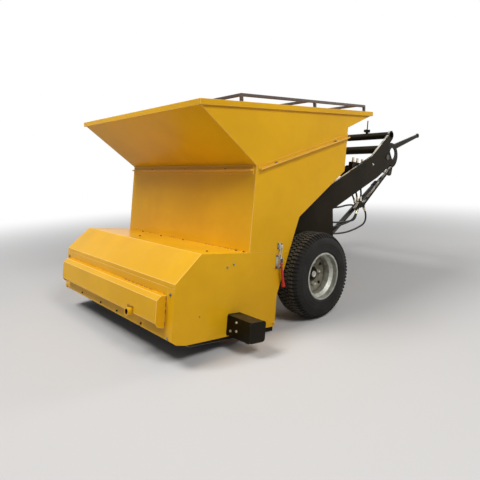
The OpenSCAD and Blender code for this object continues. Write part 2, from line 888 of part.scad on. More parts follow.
cyl_x = arm_x - arm_t - cyl_inset;
cyl_len = norm(crank - [barrel_y, barrel_z]);
cyl_angle = atan2(crank[1] - barrel_z, crank[0] - barrel_y);
eye_w = 44;
barrel_eye_d = cyl_pin_d + 33;
rod_eye_d = cyl_pin_d + 33;
// The rod's eye is wider than its pin, because the linkage is opened there
rod_eye_bore = cyl_pin_d + 11;

// Draws a cylinder along its own axis, +Y out of the barrel's pin
module along_cylinder(side) {
    on_side(side) translate([cyl_x, barrel_y, barrel_z]) rotate([cyl_angle, 0, 0]) children();
}

// A round eye across the cylinder's end
module eye(d, w) {
    translate([-w / 2, 0, 0]) rotate([0, 90, 0]) cylinder(d = d, h = w);
}

module barrel() {
    gland_l = 70;
    difference() {
        union() {
            translate([0, 20, 0]) rotate([-90, 0, 0]) cylinder(d = barrel_d, h = barrel_len - 30);
            translate([0, barrel_len - gland_l, 0]) rotate([-90, 0, 0]) cylinder(d = gland_d, h = gland_l);
            eye(barrel_eye_d, eye_w);
        }
        translate([0, 60, 0]) rotate([-90, 0, 0]) cylinder(d = rod_d + pin_fit, h = barrel_len);
        eye(cyl_pin_d + pin_fit, eye_w + 20);
    }
}

module barrel_right() color(black) stand() along_cylinder(1) barrel();
module barrel_left() color(black) stand() along_cylinder(-1) barrel();

module rod() {
    start = 240;
    difference() {
        union() {
            translate([0, start, 0]) rotate([-90, 0, 0]) cylinder(d = rod_d, h = cyl_len - start - 22);
            translate([0, cyl_len, 0]) eye(rod_eye_d, eye_w - 8);
        }
        translate([0, cyl_len, 0]) eye(rod_eye_bore, eye_w + 20);
    }
}

module rod_right() color(steel) stand() along_cylinder(1) rod();
module rod_left() color(steel) stand() along_cylinder(-1) rod();

// Hose block at the stay bar's foot, with a stub for each hose as [y, z, angle, stub length, x]
block_x0 = arm_x - 33;
block_outline = [[863, 669], [948, 673], stay_foot + [6, 6], stay_foot + [-4, -18], [904, 611], [815, 600]];
fitting_l = 46;
port_x = arm_x - 16;
riser_x = arm_x - 29;
block_ports = [
    [965, 648, -54, 30, port_x],
    [885, 612, -121, 30, port_x],
    [850, 650, 130, 14, riser_x],
    [885, 664, 112, 20, riser_x],
    [930, 664, 88, 20, riser_x]
];

module on_port(p) {
    translate([p[4], p[0], p[1]]) rotate([p[2] - 90, 0, 0]) children();
}

module hose_block() {
    across(block_x0, arm_x) polygon(block_outline);
    for (p = block_ports) on_port(p) cylinder(d = hose_d + 4, h = p[3]);
}

// Bulkhead inside the leg, with its ports as [x from the arm's inner face, z]
bulkhead_y = 400;
bulkhead_t = 10;
bulkhead_ports = [[-17, 335], [-17, 400], [-19, 447], [-19, 592]];

module hose_bulkhead() {
    translate([arm_x - arm_t - 36, bulkhead_y, 310]) cube([37, bulkhead_t, 305]);
}

// Valve block on the arm's inner face, with the risers' ports at y in its underside
valve_low = [735, 975];
valve_size = [50, 220, 95];
valve_ports = [765, 840, 925];
valve_x = arm_x - arm_t - 20;

module valve_block() color(black) stand() {
    translate([arm_x - arm_t - valve_size[0], valve_low[0], valve_low[1]]) cube(valve_size);
    // spools on its front end
    for (y = valve_ports) translate([arm_x - arm_t - valve_size[0] + 2, y, valve_low[1] + 48])
        rotate([0, -90, 0]) cylinder(d = 30, h = 46);
}

module fitting() {
    cylinder(d = hose_d + 14, h = 16, $fn = 6);
    translate([0, 0, 15]) cylinder(d = hose_d + 5, h = fitting_l - 15);
}

module hose_fittings() color(zinc) stand() {
    for (p = block_ports) on_port(p) translate([0, 0, p[3]]) fitting();
    for (p = bulkhead_ports) translate([arm_x - arm_t + p[0], bulkhead_y + bulkhead_t, p[1]])
        rotate([-90, 0, 0]) fitting();
    for (y = valve_ports) {
        translate([valve_x, y, valve_low[1]]) rotate([180, 0, 0]) fitting();
        translate([valve_x, y, valve_low[1] + valve_size[2]]) fitting();
    }
}

// Hoses: tubes swept along points that a hand has set, as [x, y, z]
hose_sides = 8;
function tangent(p, i) = let (a = p[max(i - 1, 0)], b = p[min(i + 1, len(p) - 1)]) (b - a) / norm(b - a);
function ring(p, i) = let (
    t = tangent(p, i),
    u = cross(t, [1, 0, 0]) / norm(cross(t, [1, 0, 0])),
    v = cross(t, u)
) [for (k = [0 : hose_sides - 1]) p[i] + (u * cos(360 * k / hose_sides) + v * sin(360 * k / hose_sides)) * hose_d / 2];

module hose(p) {
    n = len(p);
    m = hose_sides;
    polyhedron(
        points = [for (i = [0 : n - 1]) each ring(p, i)],
        faces = concat(
            [[for (k = [0 : m - 1]) k]],
            [for (i = [0 : n - 2], k = [0 : m - 1])
                [i * m + k, (i + 1) * m + k, (i + 1) * m + (k + 1) % m, i * m + (k + 1) % m]],
            [[for (k = [m - 1 : -1 : 0]) (n - 1) * m + k]]
        )
    );
}

// Places on a port's axis, out from the end of its fitting
function block_end(i, out) = let (p = block_ports[i])
    [p[4], p[0], p[1]] + (p[3] + fitting_l + out) * [0, cos(p[2]), sin(p[2])];
function bulkhead_end(i, out) = [
    arm_x - arm_t + bulkhead_ports[i][0], bulkhead_y + bulkhead_t + fitting_l + out, bulkhead_ports[i][1]
];
function valve_end(i, out) = [valve_x, valve_ports[i], valve_low[1] - fitting_l - out];

outer_route = [
    block_end(0, 0), block_end(0, 20), [774, 1034, 542], [774, 1038, 512], [774, 1032, 482], [773, 1015, 457],
    [773, 989, 438], [772, 955, 423], [771, 912, 407], [770, 861, 390], [766, 810, 375], [762, 758, 361],
    [757, 700, 350], [752, 640, 342], [749, 575, 337], bulkhead_end(0, 40), bulkhead_end(0, 0)
];
middle_route = [
    block_end(1, 0), block_end(1, 20), [773, 817, 503], [771, 789, 482], [768, 755, 465], [764, 710, 449],
    [759, 660, 434], [754, 608, 420], [750, 555, 408], bulkhead_end(1, 40), bulkhead_end(1, 0)
];
loop_route = [
    bulkhead_end(2, 0), bulkhead_end(2, 45), [745, 560, 448], [745, 620, 450], [745, 680, 454], [745, 740, 461],
    [745, 792, 468], [745, 833, 474], [745, 868, 487], [745, 893, 515], [745, 902, 552], [745, 892, 590],
    [745, 866, 619], [745, 828, 632], [745, 782, 633], [745, 732, 628], [745, 680, 619], [745, 620, 606],
    [745, 560, 597], bulkhead_end(3, 45), bulkhead_end(3, 0)
];
rise_front_route = [
    block_end(2, 0), block_end(2, 20), [757, 787, 731], [752, 777, 757], [749, 770, 790], [747, 766, 825],
    [745, 765, 862], valve_end(0, 30), valve_end(0, 0)
];
rise_middle_route = [
    block_end(3, 0), block_end(3, 20), [757, 846, 765], [752, 842, 792], [748, 840, 825], [745, 840, 862],
    valve_end(1, 30), valve_end(1, 0)
];
rise_rear_route = [
    block_end(4, 0), block_end(4, 25), [758, 932, 782], [754, 930, 810], [750, 928, 840], [747, 926, 868],
    valve_end(2, 30), valve_end(2, 0)
];

module hose_outer() color(hose_black) stand() hose(outer_route);
module hose_middle() color(hose_black) stand() hose(middle_route);
module hose_loop() color(hose_black) stand() hose(loop_route);
module hose_rise_front() color(hose_black) stand() hose(rise_front_route);
module hose_rise_middle() color(hose_black) stand() hose(rise_middle_route);
module hose_rise_rear() color(hose_black) stand() hose(rise_rear_route);

side_panel_right();
side_panel_left();
box_cover();
front_plate();
front_housing();
pipe_socket();
box_rear_wall();
screed();
strike_off();
skid_runners();
hopper_front();
hopper_side_right();
hopper_side_left();
hopper_rear();
lower_flange();
upper_flange();
funnel_front();
funnel_side_right();
funnel_side_left();
funnel_rear();
rim();
guard_frame();
side_brackets();
latches();
latch_handles();
chassis_plate_right();
chassis_plate_left();
cross_members();
levelling_screws();
axle();
tyre_right();
tyre_left();
wheel_right();
wheel_left();
hub_right();
hub_left();
hitch_arm_right();
hitch_arm_left();
hitch_tube();
hitch_pins();
barrel_right();
barrel_left();
rod_right();
rod_left();
valve_block();
hose_fittings();
hose_outer();
hose_middle();
hose_loop();
hose_rise_front();
hose_rise_middle();
hose_rise_rear();
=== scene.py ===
# %% [markdown]
# # A towed gravity asphalt paver
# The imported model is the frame: every solid is already in its place, in metres, and each
# moving part rides on its own body. This script dresses that frame: it gives each finish
# its material, rounds the cut edges of the sheets, and adds the small parts that a solid
# model leaves out. Lengths are in millimetres where a name or a comment doesn't say metres.

# %% Load the frame
import json
from math import atan2, cos, pi, radians, sin, tan

import bmesh
import bpy
from mathutils import Matrix, Vector


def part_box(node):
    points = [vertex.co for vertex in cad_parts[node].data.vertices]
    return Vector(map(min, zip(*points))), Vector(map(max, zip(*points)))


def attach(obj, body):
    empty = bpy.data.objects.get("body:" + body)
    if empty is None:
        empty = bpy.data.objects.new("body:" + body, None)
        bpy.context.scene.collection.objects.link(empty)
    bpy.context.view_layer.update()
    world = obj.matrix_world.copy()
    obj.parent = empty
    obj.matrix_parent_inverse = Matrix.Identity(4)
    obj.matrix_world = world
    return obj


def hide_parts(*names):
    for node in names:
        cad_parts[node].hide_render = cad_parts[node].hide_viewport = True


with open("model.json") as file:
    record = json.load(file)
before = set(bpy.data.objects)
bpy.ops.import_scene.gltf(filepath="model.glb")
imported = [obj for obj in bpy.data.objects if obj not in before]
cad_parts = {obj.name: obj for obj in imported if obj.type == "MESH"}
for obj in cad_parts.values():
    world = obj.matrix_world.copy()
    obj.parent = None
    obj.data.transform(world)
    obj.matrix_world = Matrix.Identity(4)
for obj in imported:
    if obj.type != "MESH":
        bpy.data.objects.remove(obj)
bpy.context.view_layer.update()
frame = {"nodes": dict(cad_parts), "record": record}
SLOT = {part["node"]: part["material_slot"] for part in frame["record"]["subparts"]}

# %% [markdown]
# ## The machine's own frame
# The paver stands nose up by a few degrees, but its plates are square to each other. So
# places on it are easier to give in its own tipped frame, in millimetres from the axle, as
# its drawing does. `place` turns such a point into the shared frame in metres, and `aim`
# turns a direction.

# %% Places on the tipped machine
PARK_PITCH = radians(8.6)
HITCH_PIVOT = (0, 1344, 1190)
SIDES = ((1, "right"), (-1, "left"))
axle_low, axle_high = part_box("axle")
AXLE = (axle_low + axle_high) / 2


def aim(x, y, z):
    """A direction of the machine's own frame, in the shared frame."""
    c, s = cos(PARK_PITCH), sin(PARK_PITCH)
    return Vector((x, y * c + z * s, -y * s + z * c))


def place(x, y, z):
    """A point of the machine's own frame in mm, as metres in the shared frame."""
    return AXLE + aim(x, y, z) / 1000.0


print("axle", [round(v, 3) for v in AXLE])
print("hitch pivot", [round(v, 3) for v in place(*HITCH_PIVOT)])

# %% [markdown]
# ## The camera
# The photograph's camera was solved from its vanishing points. Its axes are written here
# as a turned frame: where it looks, what is right and what is up. Its place is measured
# from the axle, in metres, because the machine's sizes are tied to the axle. The focal
# length and the row of the horizon's middle are in pixels of the picture.

# %% Camera
IMAGE = 480
FOCAL = 434.0
CENTRE_ROW = 213.0
SENSOR = 36.0
EYE_LOOK = Vector((-0.74537, 0.65499, -0.12414))
EYE_RIGHT = Vector((0.66293, 0.74790, -0.03432))
EYE_UP = Vector((-0.07036, 0.10788, 0.99167))
FROM_AXLE = Vector((3.312, -2.8938, 1.0164))

scene = bpy.context.scene
eye_data = bpy.data.cameras.new("eye")
eye = bpy.data.objects.new("eye", eye_data)
scene.collection.objects.link(eye)
eye_data.sensor_width = SENSOR
eye_data.lens = FOCAL / IMAGE * SENSOR
eye_data.shift_y = (CENTRE_ROW - IMAGE / 2) / IMAGE
turn = Matrix((EYE_RIGHT, EYE_UP, -EYE_LOOK)).transposed().to_4x4()
eye.matrix_world = Matrix.Translation(AXLE + FROM_AXLE) @ turn
scene.camera = eye
print("camera at", [round(v, 3) for v in AXLE + FROM_AXLE])

# %% [markdown]
# ## Light
# A studio for a machine: the strongest lamp high in front, a second one high on the near
# side and a weak one behind, so that each face of the folded sheet has its own tone. `lamp`
# turns each lamp to its target, because a lamp shines along its own -Z.

# %% Lamps
def lamp(name, at, target, size, power):
    """A square lamp: places and size in metres, power in watts."""
    data = bpy.data.lights.new(name, "AREA")
    data.size = size
    data.energy = power
    obj = bpy.data.objects.new(name, data)
    scene.collection.objects.link(obj)
    obj.location = at
    obj.rotation_mode = "QUATERNION"
    obj.rotation_quaternion = (Vector(at) - Vector(target)).to_track_quat("Z", "Y")


lamp("key", (-1.2, -5.2, 7.9), (0, 0, 0.8), 2.8, 560)
lamp("fill", (6.2, -1.8, 6.4), (0, 0, 0.8), 2.6, 330)
lamp("back", (3.0, 7.0, 4.5), (0, 0, 1.0), 3.0, 160)

# %% [markdown]
# ## Background and floor
# What the camera sees behind the object is plain white, and so is what paint and chrome
# mirror. A softer grey lights the object. The Light Path node tells the two apart.
# The floor is a disc of pale paper. It keeps the shadow, and away from the object it turns
# into the same white, so that no horizon shows.

# %% World
def add(tree, kind, **values):
    """A node with some of its properties set."""
    node = tree.nodes.new(kind)
    for key, value in values.items():
        setattr(node, key, value)
    return node


def wire(tree, *pairs):
    """Links pairs of an output and an input."""
    for source, target in pairs:
        tree.links.new(source, target)


def seen_or_mirrored(tree):
    """1 for camera, glossy and transmission rays, 0 for the rays that light a surface."""
    path = add(tree, "ShaderNodeLightPath")
    glossy = add(tree, "ShaderNodeMath", operation="MAXIMUM")
    through = add(tree, "ShaderNodeMath", operation="MAXIMUM")
    wire(tree,
         (path.outputs["Is Camera Ray"], glossy.inputs[0]),
         (path.outputs["Is Glossy Ray"], glossy.inputs[1]),
         (glossy.outputs[0], through.inputs[0]),
         (path.outputs["Is Transmission Ray"], through.inputs[1]))
    return through.outputs[0]


SOFT_LIGHT = (0.92, 0.95, 1.0, 1)
SOFT_STRENGTH = 0.20
WHITE = (1, 1, 1, 1)

scene.view_settings.view_transform = "Standard"
world = bpy.data.worlds.new("studio")
scene.world = world
world.use_nodes = True
sky = world.node_tree
sky.nodes.clear()
soft = add(sky, "ShaderNodeBackground")
soft.inputs["Color"].default_value = SOFT_LIGHT
soft.inputs["Strength"].default_value = SOFT_STRENGTH
white = add(sky, "ShaderNodeBackground")
white.inputs["Color"].default_value = WHITE
either = add(sky, "ShaderNodeMixShader")
wire(sky,
     (seen_or_mirrored(sky), either.inputs[0]),
     (soft.outputs[0], either.inputs[1]),
     (white.outputs[0], either.inputs[2]),
     (either.outputs[0], add(sky, "ShaderNodeOutputWorld").inputs[0]))
print("world", world.name, "nodes", len(sky.nodes))

# %% Floor
# Radii in metres: the disc, and where its fading begins and ends
FLOOR_R = 60.0
CLEAR_R = 3.2
FADE_R = 9.0
PAPER = (0.58, 0.57, 0.56, 1)


def mesh_of(name, work):
    """A mesh from a working mesh, which is freed."""
    mesh = bpy.data.meshes.new(name)
    work.to_mesh(mesh)
    work.free()
    return mesh


disc = bmesh.new()
bmesh.ops.create_circle(disc, cap_ends=True, segments=64, radius=FLOOR_R)
floor_mesh = mesh_of("floor", disc)
floor = bpy.data.objects.new("floor", floor_mesh)
scene.collection.objects.link(floor)
paper = bpy.data.materials.new("floor_paper")
paper.use_nodes = True
pt = paper.node_tree
matt = pt.nodes["Principled BSDF"]
matt.inputs["Base Color"].default_value = PAPER
matt.inputs["Roughness"].default_value = 0.95
matt.inputs["Specular IOR Level"].default_value = 0.1
glow = add(pt, "ShaderNodeEmission")
glow.inputs["Color"].default_value = WHITE
spot = add(pt, "ShaderNodeTexCoord")
reach = add(pt, "ShaderNodeVectorMath", operation="LENGTH")
fade = add(pt, "ShaderNodeMapRange", interpolation_type="SMOOTHSTEP")
fade.inputs["From Min"].default_value = CLEAR_R
fade.inputs["From Max"].default_value = FADE_R
only_seen = add(pt, "ShaderNodeMath", operation="MULTIPLY")
blend = add(pt, "ShaderNodeMixShader")
wire(pt,
     (spot.outputs["Object"], reach.inputs[0]),
     (reach.outputs["Value"], fade.inputs["Value"]),
     (fade.outputs["Result"], only_seen.inputs[0]),
     (seen_or_mirrored(pt), only_seen.inputs[1]),
     (only_seen.outputs[0], blend.inputs[0]),
     (matt.outputs[0], blend.inputs[1]),
     (glow.outputs[0], blend.inputs[2]),
     (blend.outputs[0], pt.nodes["Material Output"].inputs["Surface"]))
floor_mesh.materials.append(paper)
print("floor radius", FLOOR_R)

# %% [markdown]
# ## Shader groups that the finishes share
# Sprayed sheet metal has three things in common, whatever its colour: the coat is never
# quite even in tone, it has a fine orange peel, and a large sheet is a little wavy, which
# bends what it mirrors. Dust settles on what faces up, in patches, and long scuffs run
# level. On the black arms the same mask, with a pale tone and a large amount, lights up all
# that faces up: a painted highlight as well as dust. One group makes all of that, and each
# finish sets its own amounts. Object coordinates are in metres, so a scale of 300 is a grain
# of about 3 mm.

# %% Coat group
def group(name, inputs, outputs):
    """An empty node group with named sockets; returns the tree and its two end nodes."""
    tree = bpy.data.node_groups.new(name, "ShaderNodeTree")
    for label, value in inputs.items():
        socket = tree.interface.new_socket(label, in_out="INPUT", socket_type="NodeSocketFloat")
        socket.default_value = value
    for label in outputs:
        tree.interface.new_socket(label, in_out="OUTPUT", socket_type="NodeSocketFloat")
    return tree, tree.nodes.new("NodeGroupInput"), tree.nodes.new("NodeGroupOutput")


def noise(tree, where, scale, detail=2.0, rough=0.5):
    """A noise texture on a vector; scale is a number or a socket."""
    tex = add(tree, "ShaderNodeTexNoise")
    tex.inputs["Detail"].default_value = detail
    tex.inputs["Roughness"].default_value = rough
    tree.links.new(where, tex.inputs["Vector"])
    if isinstance(scale, (int, float)):
        tex.inputs["Scale"].default_value = scale
    else:
        tree.links.new(scale, tex.inputs["Scale"])
    return tex.outputs["Fac"]


def maths(tree, operation, a, b=None, clamp=False):
    """A maths node on two sockets or numbers."""
    node = add(tree, "ShaderNodeMath", operation=operation, use_clamp=clamp)
    for i, value in enumerate((a, b)):
        if value is None:
            continue
        if isinstance(value, (int, float)):
            node.inputs[i].default_value = value
        else:
            tree.links.new(value, node.inputs[i])
    return node.outputs[0]


def ramp(tree, value, low, high):
    """0 below low, 1 above high, smooth between."""
    node = add(tree, "ShaderNodeMapRange", interpolation_type="SMOOTHSTEP")
    node.inputs["From Min"].default_value = low
    node.inputs["From Max"].default_value = high
    tree.links.new(value, node.inputs["Value"])
    return node.outputs["Result"]


WAVE_SCALE, PATCH_SCALE, SCUFF_SCALE = 1.7, 5.0, 3.0
LEVEL_RUN = (3.0, 3.0, 14.0)

coat, coat_in, coat_out = group(
    "coat",
    {"Mottle Scale": 2.0, "Peel Scale": 300.0, "Peel Depth": 0.00002, "Wave Depth": 0.0, "Dust": 0.1},
    ("Mottle", "Dust", "Scuff", "Height"))
where = add(coat, "ShaderNodeTexCoord")
spread = where.outputs["Object"]
mottle = noise(coat, spread, coat_in.outputs["Mottle Scale"], 4.0, 0.6)
coat.links.new(ramp(coat, mottle, 0.35, 0.65), coat_out.inputs["Mottle"])
peel = maths(coat, "MULTIPLY", noise(coat, spread, coat_in.outputs["Peel Scale"]),
             coat_in.outputs["Peel Depth"])
wave = maths(coat, "MULTIPLY", noise(coat, spread, WAVE_SCALE, 1.0), coat_in.outputs["Wave Depth"])
coat.links.new(maths(coat, "ADD", peel, wave), coat_out.inputs["Height"])
# What faces up gets dust in patches; on the arms it is a painted highlight as well
lie = add(coat, "ShaderNodeSeparateXYZ")
coat.links.new(where.outputs["Normal"], lie.inputs[0])
flat = ramp(coat, lie.outputs["Z"], 0.2, 0.95)
in_patches = ramp(coat, noise(coat, spread, PATCH_SCALE, 6.0, 0.65), 0.38, 0.72)
on_top = maths(coat, "MULTIPLY", flat, in_patches)
coat.links.new(maths(coat, "MULTIPLY", on_top, coat_in.outputs["Dust"], True), coat_out.inputs["Dust"])
smear = add(coat, "ShaderNodeMapping")
smear.inputs["Scale"].default_value = LEVEL_RUN
coat.links.new(spread, smear.inputs["Vector"])
scuffs = noise(coat, smear.outputs[0], SCUFF_SCALE, 6.0, 0.7)
coat.links.new(ramp(coat, scuffs, 0.60, 0.78), coat_out.inputs["Scuff"])
print("group", coat.name, "nodes", len(coat.nodes))

# %% [markdown]
# ## The finishes
# `finish` builds one material: two tones of the coat mixed by the mottle, dust over them
# (on the black arms also a painted highlight), a lighter tone where the face attribute
# "edge" marks a rounded edge, which is a painted highlight, and the height as a bump.
# Numbers that are the same all over a surface are set on the Principled BSDF itself.
# `by_depth` darkens the tyre below the tops of its tread blocks, and darkens the wheels'
# dishes, inboard of their rims, as painted shade.

# %% Finish maker
def mix_colour(tree, factor, a, b):
    """Colour a to colour b by a factor; each may be a socket or an RGB tuple."""
    node = add(tree, "ShaderNodeMix", data_type="RGBA")
    tree.links.new(factor, node.inputs[0])
    for i, value in ((6, a), (7, b)):
        if isinstance(value, tuple):
            node.inputs[i].default_value = (*value, 1)
        else:
            tree.links.new(value, node.inputs[i])
    return node.outputs[2]


def mix_value(tree, factor, a, b):
    """Number a to number b by a factor."""
    node = add(tree, "ShaderNodeMapRange")
    tree.links.new(factor, node.inputs["Value"])
    node.inputs["To Min"].default_value = a
    node.inputs["To Max"].default_value = b
    return node.outputs["Result"]


# How much of the edge tone a rounded edge gets: a painted highlight
EDGE_HIGHLIGHT_SHARE = 0.7


def finish(name, tone_a, tone_b, rough, metal=0.0, coat_weight=0.0, coat_rough=0.05,
           dust_tone=(0.30, 0.25, 0.18), specular=0.5, edge_highlight_tone=None, **amounts):
    """A material from the coat group; amounts are the group's inputs, in words."""
    material = bpy.data.materials.new(name)
    material.use_nodes = True
    tree = material.node_tree
    bsdf = tree.nodes["Principled BSDF"]
    skin = add(tree, "ShaderNodeGroup", node_tree=coat)
    for label, value in amounts.items():
        skin.inputs[label.replace("_", " ").title()].default_value = value
    tone = mix_colour(tree, skin.outputs["Mottle"], tone_a, tone_b)
    # Dust over the tones; with the arms' pale tone it is also a painted highlight
    tone = mix_colour(tree, skin.outputs["Dust"], tone, dust_tone)
    # A lighter tone on the rounded edges, as a painted highlight
    if edge_highlight_tone:
        edge = add(tree, "ShaderNodeAttribute", attribute_name="edge")
        share = maths(tree, "MULTIPLY", edge.outputs["Fac"], EDGE_HIGHLIGHT_SHARE)
        tone = mix_colour(tree, share, tone, edge_highlight_tone)
    tree.links.new(tone, bsdf.inputs["Base Color"])
    tree.links.new(mix_value(tree, skin.outputs["Scuff"], *rough), bsdf.inputs["Roughness"])
    bump = add(tree, "ShaderNodeBump")
    bump.inputs["Distance"].default_value = 1.0
    tree.links.new(skin.outputs["Height"], bump.inputs["Height"])
    tree.links.new(bump.outputs[0], bsdf.inputs["Normal"])
    bsdf.inputs["Metallic"].default_value = metal
    bsdf.inputs["Coat Weight"].default_value = coat_weight
    bsdf.inputs["Coat Roughness"].default_value = coat_rough
    bsdf.inputs["Specular IOR Level"].default_value = specular
    return material


def by_depth(material, source, low, high, dark):
    """Darkens a material below a depth: the distance from the axle, or along it, in metres."""
    tree = material.node_tree
    at = add(tree, "ShaderNodeTexCoord").outputs["Object"]
    if source == "radius":
        from_axle = add(tree, "ShaderNodeVectorMath", operation="SUBTRACT")
        from_axle.inputs[1].default_value = AXLE
        off = add(tree, "ShaderNodeVectorMath", operation="MULTIPLY")
        off.inputs[1].default_value = (0, 1, 1)
        length = add(tree, "ShaderNodeVectorMath", operation="LENGTH")
        wire(tree, (at, from_axle.inputs[0]), (from_axle.outputs[0], off.inputs[0]),
             (off.outputs[0], length.inputs[0]))
        depth = length.outputs["Value"]
    else:
        apart = add(tree, "ShaderNodeSeparateXYZ")
        tree.links.new(at, apart.inputs[0])
        depth = maths(tree, "ABSOLUTE", apart.outputs["X"])
    base = tree.nodes["Principled BSDF"].inputs["Base Color"]
    shade = add(tree, "ShaderNodeMix", data_type="RGBA", blend_type="MULTIPLY")
    shade.inputs[0].default_value = 1.0
    darkness = mix_colour(tree, ramp(tree, depth, low, high), dark, (1.0, 1.0, 1.0))
    wire(tree, (base.links[0].from_socket, shade.inputs[6]), (darkness, shade.inputs[7]),
         (shade.outputs[2], base))


# %% Finishes
BLACKS = ((0.008, 0.006, 0.0025), (0.013, 0.009, 0.004))
# Lighter tone for the rounded edges of the black finishes: a painted highlight
BLACK_EDGE_HIGHLIGHT = (0.36, 0.33, 0.27)
# In each look below, the edge tone is a lighter colour for the rounded edges: a painted highlight
LOOKS = {
    "yellow_paint": ((0.76, 0.405, 0.009), (0.69, 0.36, 0.008), (0.34, 0.46), dict(
        coat_weight=0.14, coat_rough=0.12, specular=0.05, edge_highlight_tone=(0.95, 0.62, 0.19),
        mottle_scale=1.4, peel_depth=0.000012, wave_depth=0.004, dust=0.06)),
    "black_paint": (*BLACKS, (0.36, 0.55), dict(
        coat_weight=0.02, coat_rough=0.15, specular=0.08, edge_highlight_tone=BLACK_EDGE_HIGHLIGHT,
        mottle_scale=3.0, wave_depth=0.002, dust=0.12)),
    # The arms' pale tone on all that faces up is a painted highlight on their top edges and stay bar,
    # with some dust; their edge tone is a painted highlight too
    "arm_paint": ((0.013, 0.009, 0.0035), (0.019, 0.013, 0.006), (0.36, 0.55), dict(
        specular=0.05, edge_highlight_tone=(0.62, 0.58, 0.48), mottle_scale=3.0, wave_depth=0.002,
        dust=3.0, dust_tone=(0.60, 0.56, 0.47))),
    "barrel_paint": (*BLACKS, (0.16, 0.30), dict(
        coat_weight=0.25, coat_rough=0.08, specular=0.4, edge_highlight_tone=BLACK_EDGE_HIGHLIGHT,
        mottle_scale=3.0, wave_depth=0.001, dust=0.12)),
    # Dark steel: the hitch pins' own finish, and on the cover's bolts painted shade
    "greased_steel": ((0.040, 0.034, 0.024), (0.085, 0.072, 0.052), (0.40, 0.60), dict(
        metal=0.6, mottle_scale=60.0)),
    "zinc_plate": ((0.44, 0.43, 0.38), (0.62, 0.61, 0.55), (0.30, 0.45), dict(
        metal=0.9, mottle_scale=60.0, peel_scale=500.0, dust=0.15)),
    # Zinc darkened for the bolts of the strips, housing, flange sides and panels: painted shade
    "bolt_zinc": ((0.17, 0.16, 0.13), (0.30, 0.29, 0.25), (0.35, 0.50), dict(
        metal=0.8, mottle_scale=60.0)),
    # Dark red for the pipe's bore: painted shade with a painted red reflection
    "bare_bore": ((0.050, 0.012, 0.007), (0.085, 0.022, 0.012), (0.6, 0.8), dict(
        specular=0.1, mottle_scale=40.0, dust=0.0)),
    "chrome": ((0.72, 0.73, 0.74), (0.78, 0.78, 0.79), (0.08, 0.16), dict(
        metal=1.0, mottle_scale=20.0, peel_depth=0.0)),
    "tyre": ((0.052, 0.047, 0.036), (0.084, 0.076, 0.058), (0.62, 0.8), dict(
        specular=0.15, mottle_scale=9.0, peel_scale=700.0, peel_depth=0.00008, dust=0.16)),
    "wheel_zinc": ((0.33, 0.33, 0.29), (0.48, 0.48, 0.42), (0.52, 0.66), dict(
        metal=0.7, mottle_scale=30.0, peel_scale=400.0)),
    "hose_rubber": ((0.008, 0.008, 0.007), (0.014, 0.013, 0.011), (0.38, 0.5), dict(
        specular=0.22, mottle_scale=20.0, peel_scale=900.0, peel_depth=0.00003)),
    "red_grip": ((0.50, 0.020, 0.012), (0.42, 0.016, 0.010), (0.35, 0.5), dict(
        mottle_scale=20.0, peel_scale=400.0)),
    "guard_paint": ((0.050, 0.030, 0.022), (0.085, 0.050, 0.035), (0.5, 0.7), dict(
        mottle_scale=12.0, dust=0.2)),
    "passivated": ((0.58, 0.50, 0.30), (0.66, 0.62, 0.50), (0.25, 0.4), dict(
        metal=0.95, mottle_scale=40.0)),
    "weld_grime": ((0.20, 0.095, 0.012), (0.36, 0.19, 0.015), (0.5, 0.7), dict(
        mottle_scale=60.0, dust=0.0)),
}
FINISH = {name: finish(name, *tones, **more) for name, (*tones, more) in LOOKS.items()}
# Where the darkening fades out, in metres: away from the axle on the tyre, and along it on
# the wheels, where it is painted shade in the dishes
GROOVES = (0.3605, 0.3670)
DISHES = (0.938, 0.975)
by_depth(FINISH["tyre"], "radius", *GROOVES, (0.22, 0.22, 0.25))
# Painted shade in the wheels' dishes, inboard of their rims
by_depth(FINISH["wheel_zinc"], "along", *DISHES, (0.50, 0.46, 0.40))
FINISH_OF = {
    "guard_frame": "guard_paint", "hose_fittings": "passivated", "hitch_pins": "greased_steel",
    "wheel_right": "wheel_zinc", "wheel_left": "wheel_zinc", "chassis_plate_right": "arm_paint",
    "chassis_plate_left": "arm_paint", "barrel_right": "barrel_paint", "barrel_left": "barrel_paint",
}
for name, obj in frame["nodes"].items():
    for slot in obj.material_slots:
        slot.material = FINISH[FINISH_OF.get(name, SLOT[name])]
print("finishes", len(FINISH))

# %% [markdown]
# ## Hoses
# Six hydraulic hoses hang behind the right leg. From the steel block under the arm, two run
# down into the leg and three up to the valve block. The sixth leaves the leg in a loop and
# comes back to it. A hose is stiff, so it makes round bends. Each route repeats the
# drawing's points, in the machine's own frame, and a smooth curve is laid through them at
# even steps. A curve object with a round bevel is the simplest tube, and its length can be
# read off.

# %% Curve maker
FINE_STEPS = 12


def along(points, count):
    """Points at even steps on a smooth curve through the given points, and its length."""
    pts = [2 * points[0] - points[1]] + points + [2 * points[-1] - points[-2]]
    fine = []
    for a, b, c, d in zip(pts, pts[1:], pts[2:], pts[3:]):
        for k in range(FINE_STEPS):
            t = k / FINE_STEPS
            fine.append(0.5 * (2 * b + (c - a) * t + (2 * a - 5 * b + 4 * c - d) * t * t
                               + (3 * b - a - 3 * c + d) * t ** 3))
    fine.append(points[-1])
    run = [0.0]
    for a, b in zip(fine, fine[1:]):
        run.append(run[-1] + (b - a).length)
    even, j = [], 0
    for i in range(count):
        want = run[-1] * i / (count - 1)
        while j < len(run) - 2 and run[j + 1] < want:
            j += 1
        t = (want - run[j]) / (run[j + 1] - run[j])
        even.append(fine[j].lerp(fine[j + 1], t))
    return even, run[-1]


def dress(obj, body, slot, *nodes):
    """Puts a piece on its body and hides the solids that it stands for. Its slot is not used."""
    if obj.name not in scene.collection.objects:
        scene.collection.objects.link(obj)
    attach(obj, body)
    if nodes:
        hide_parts(*nodes)


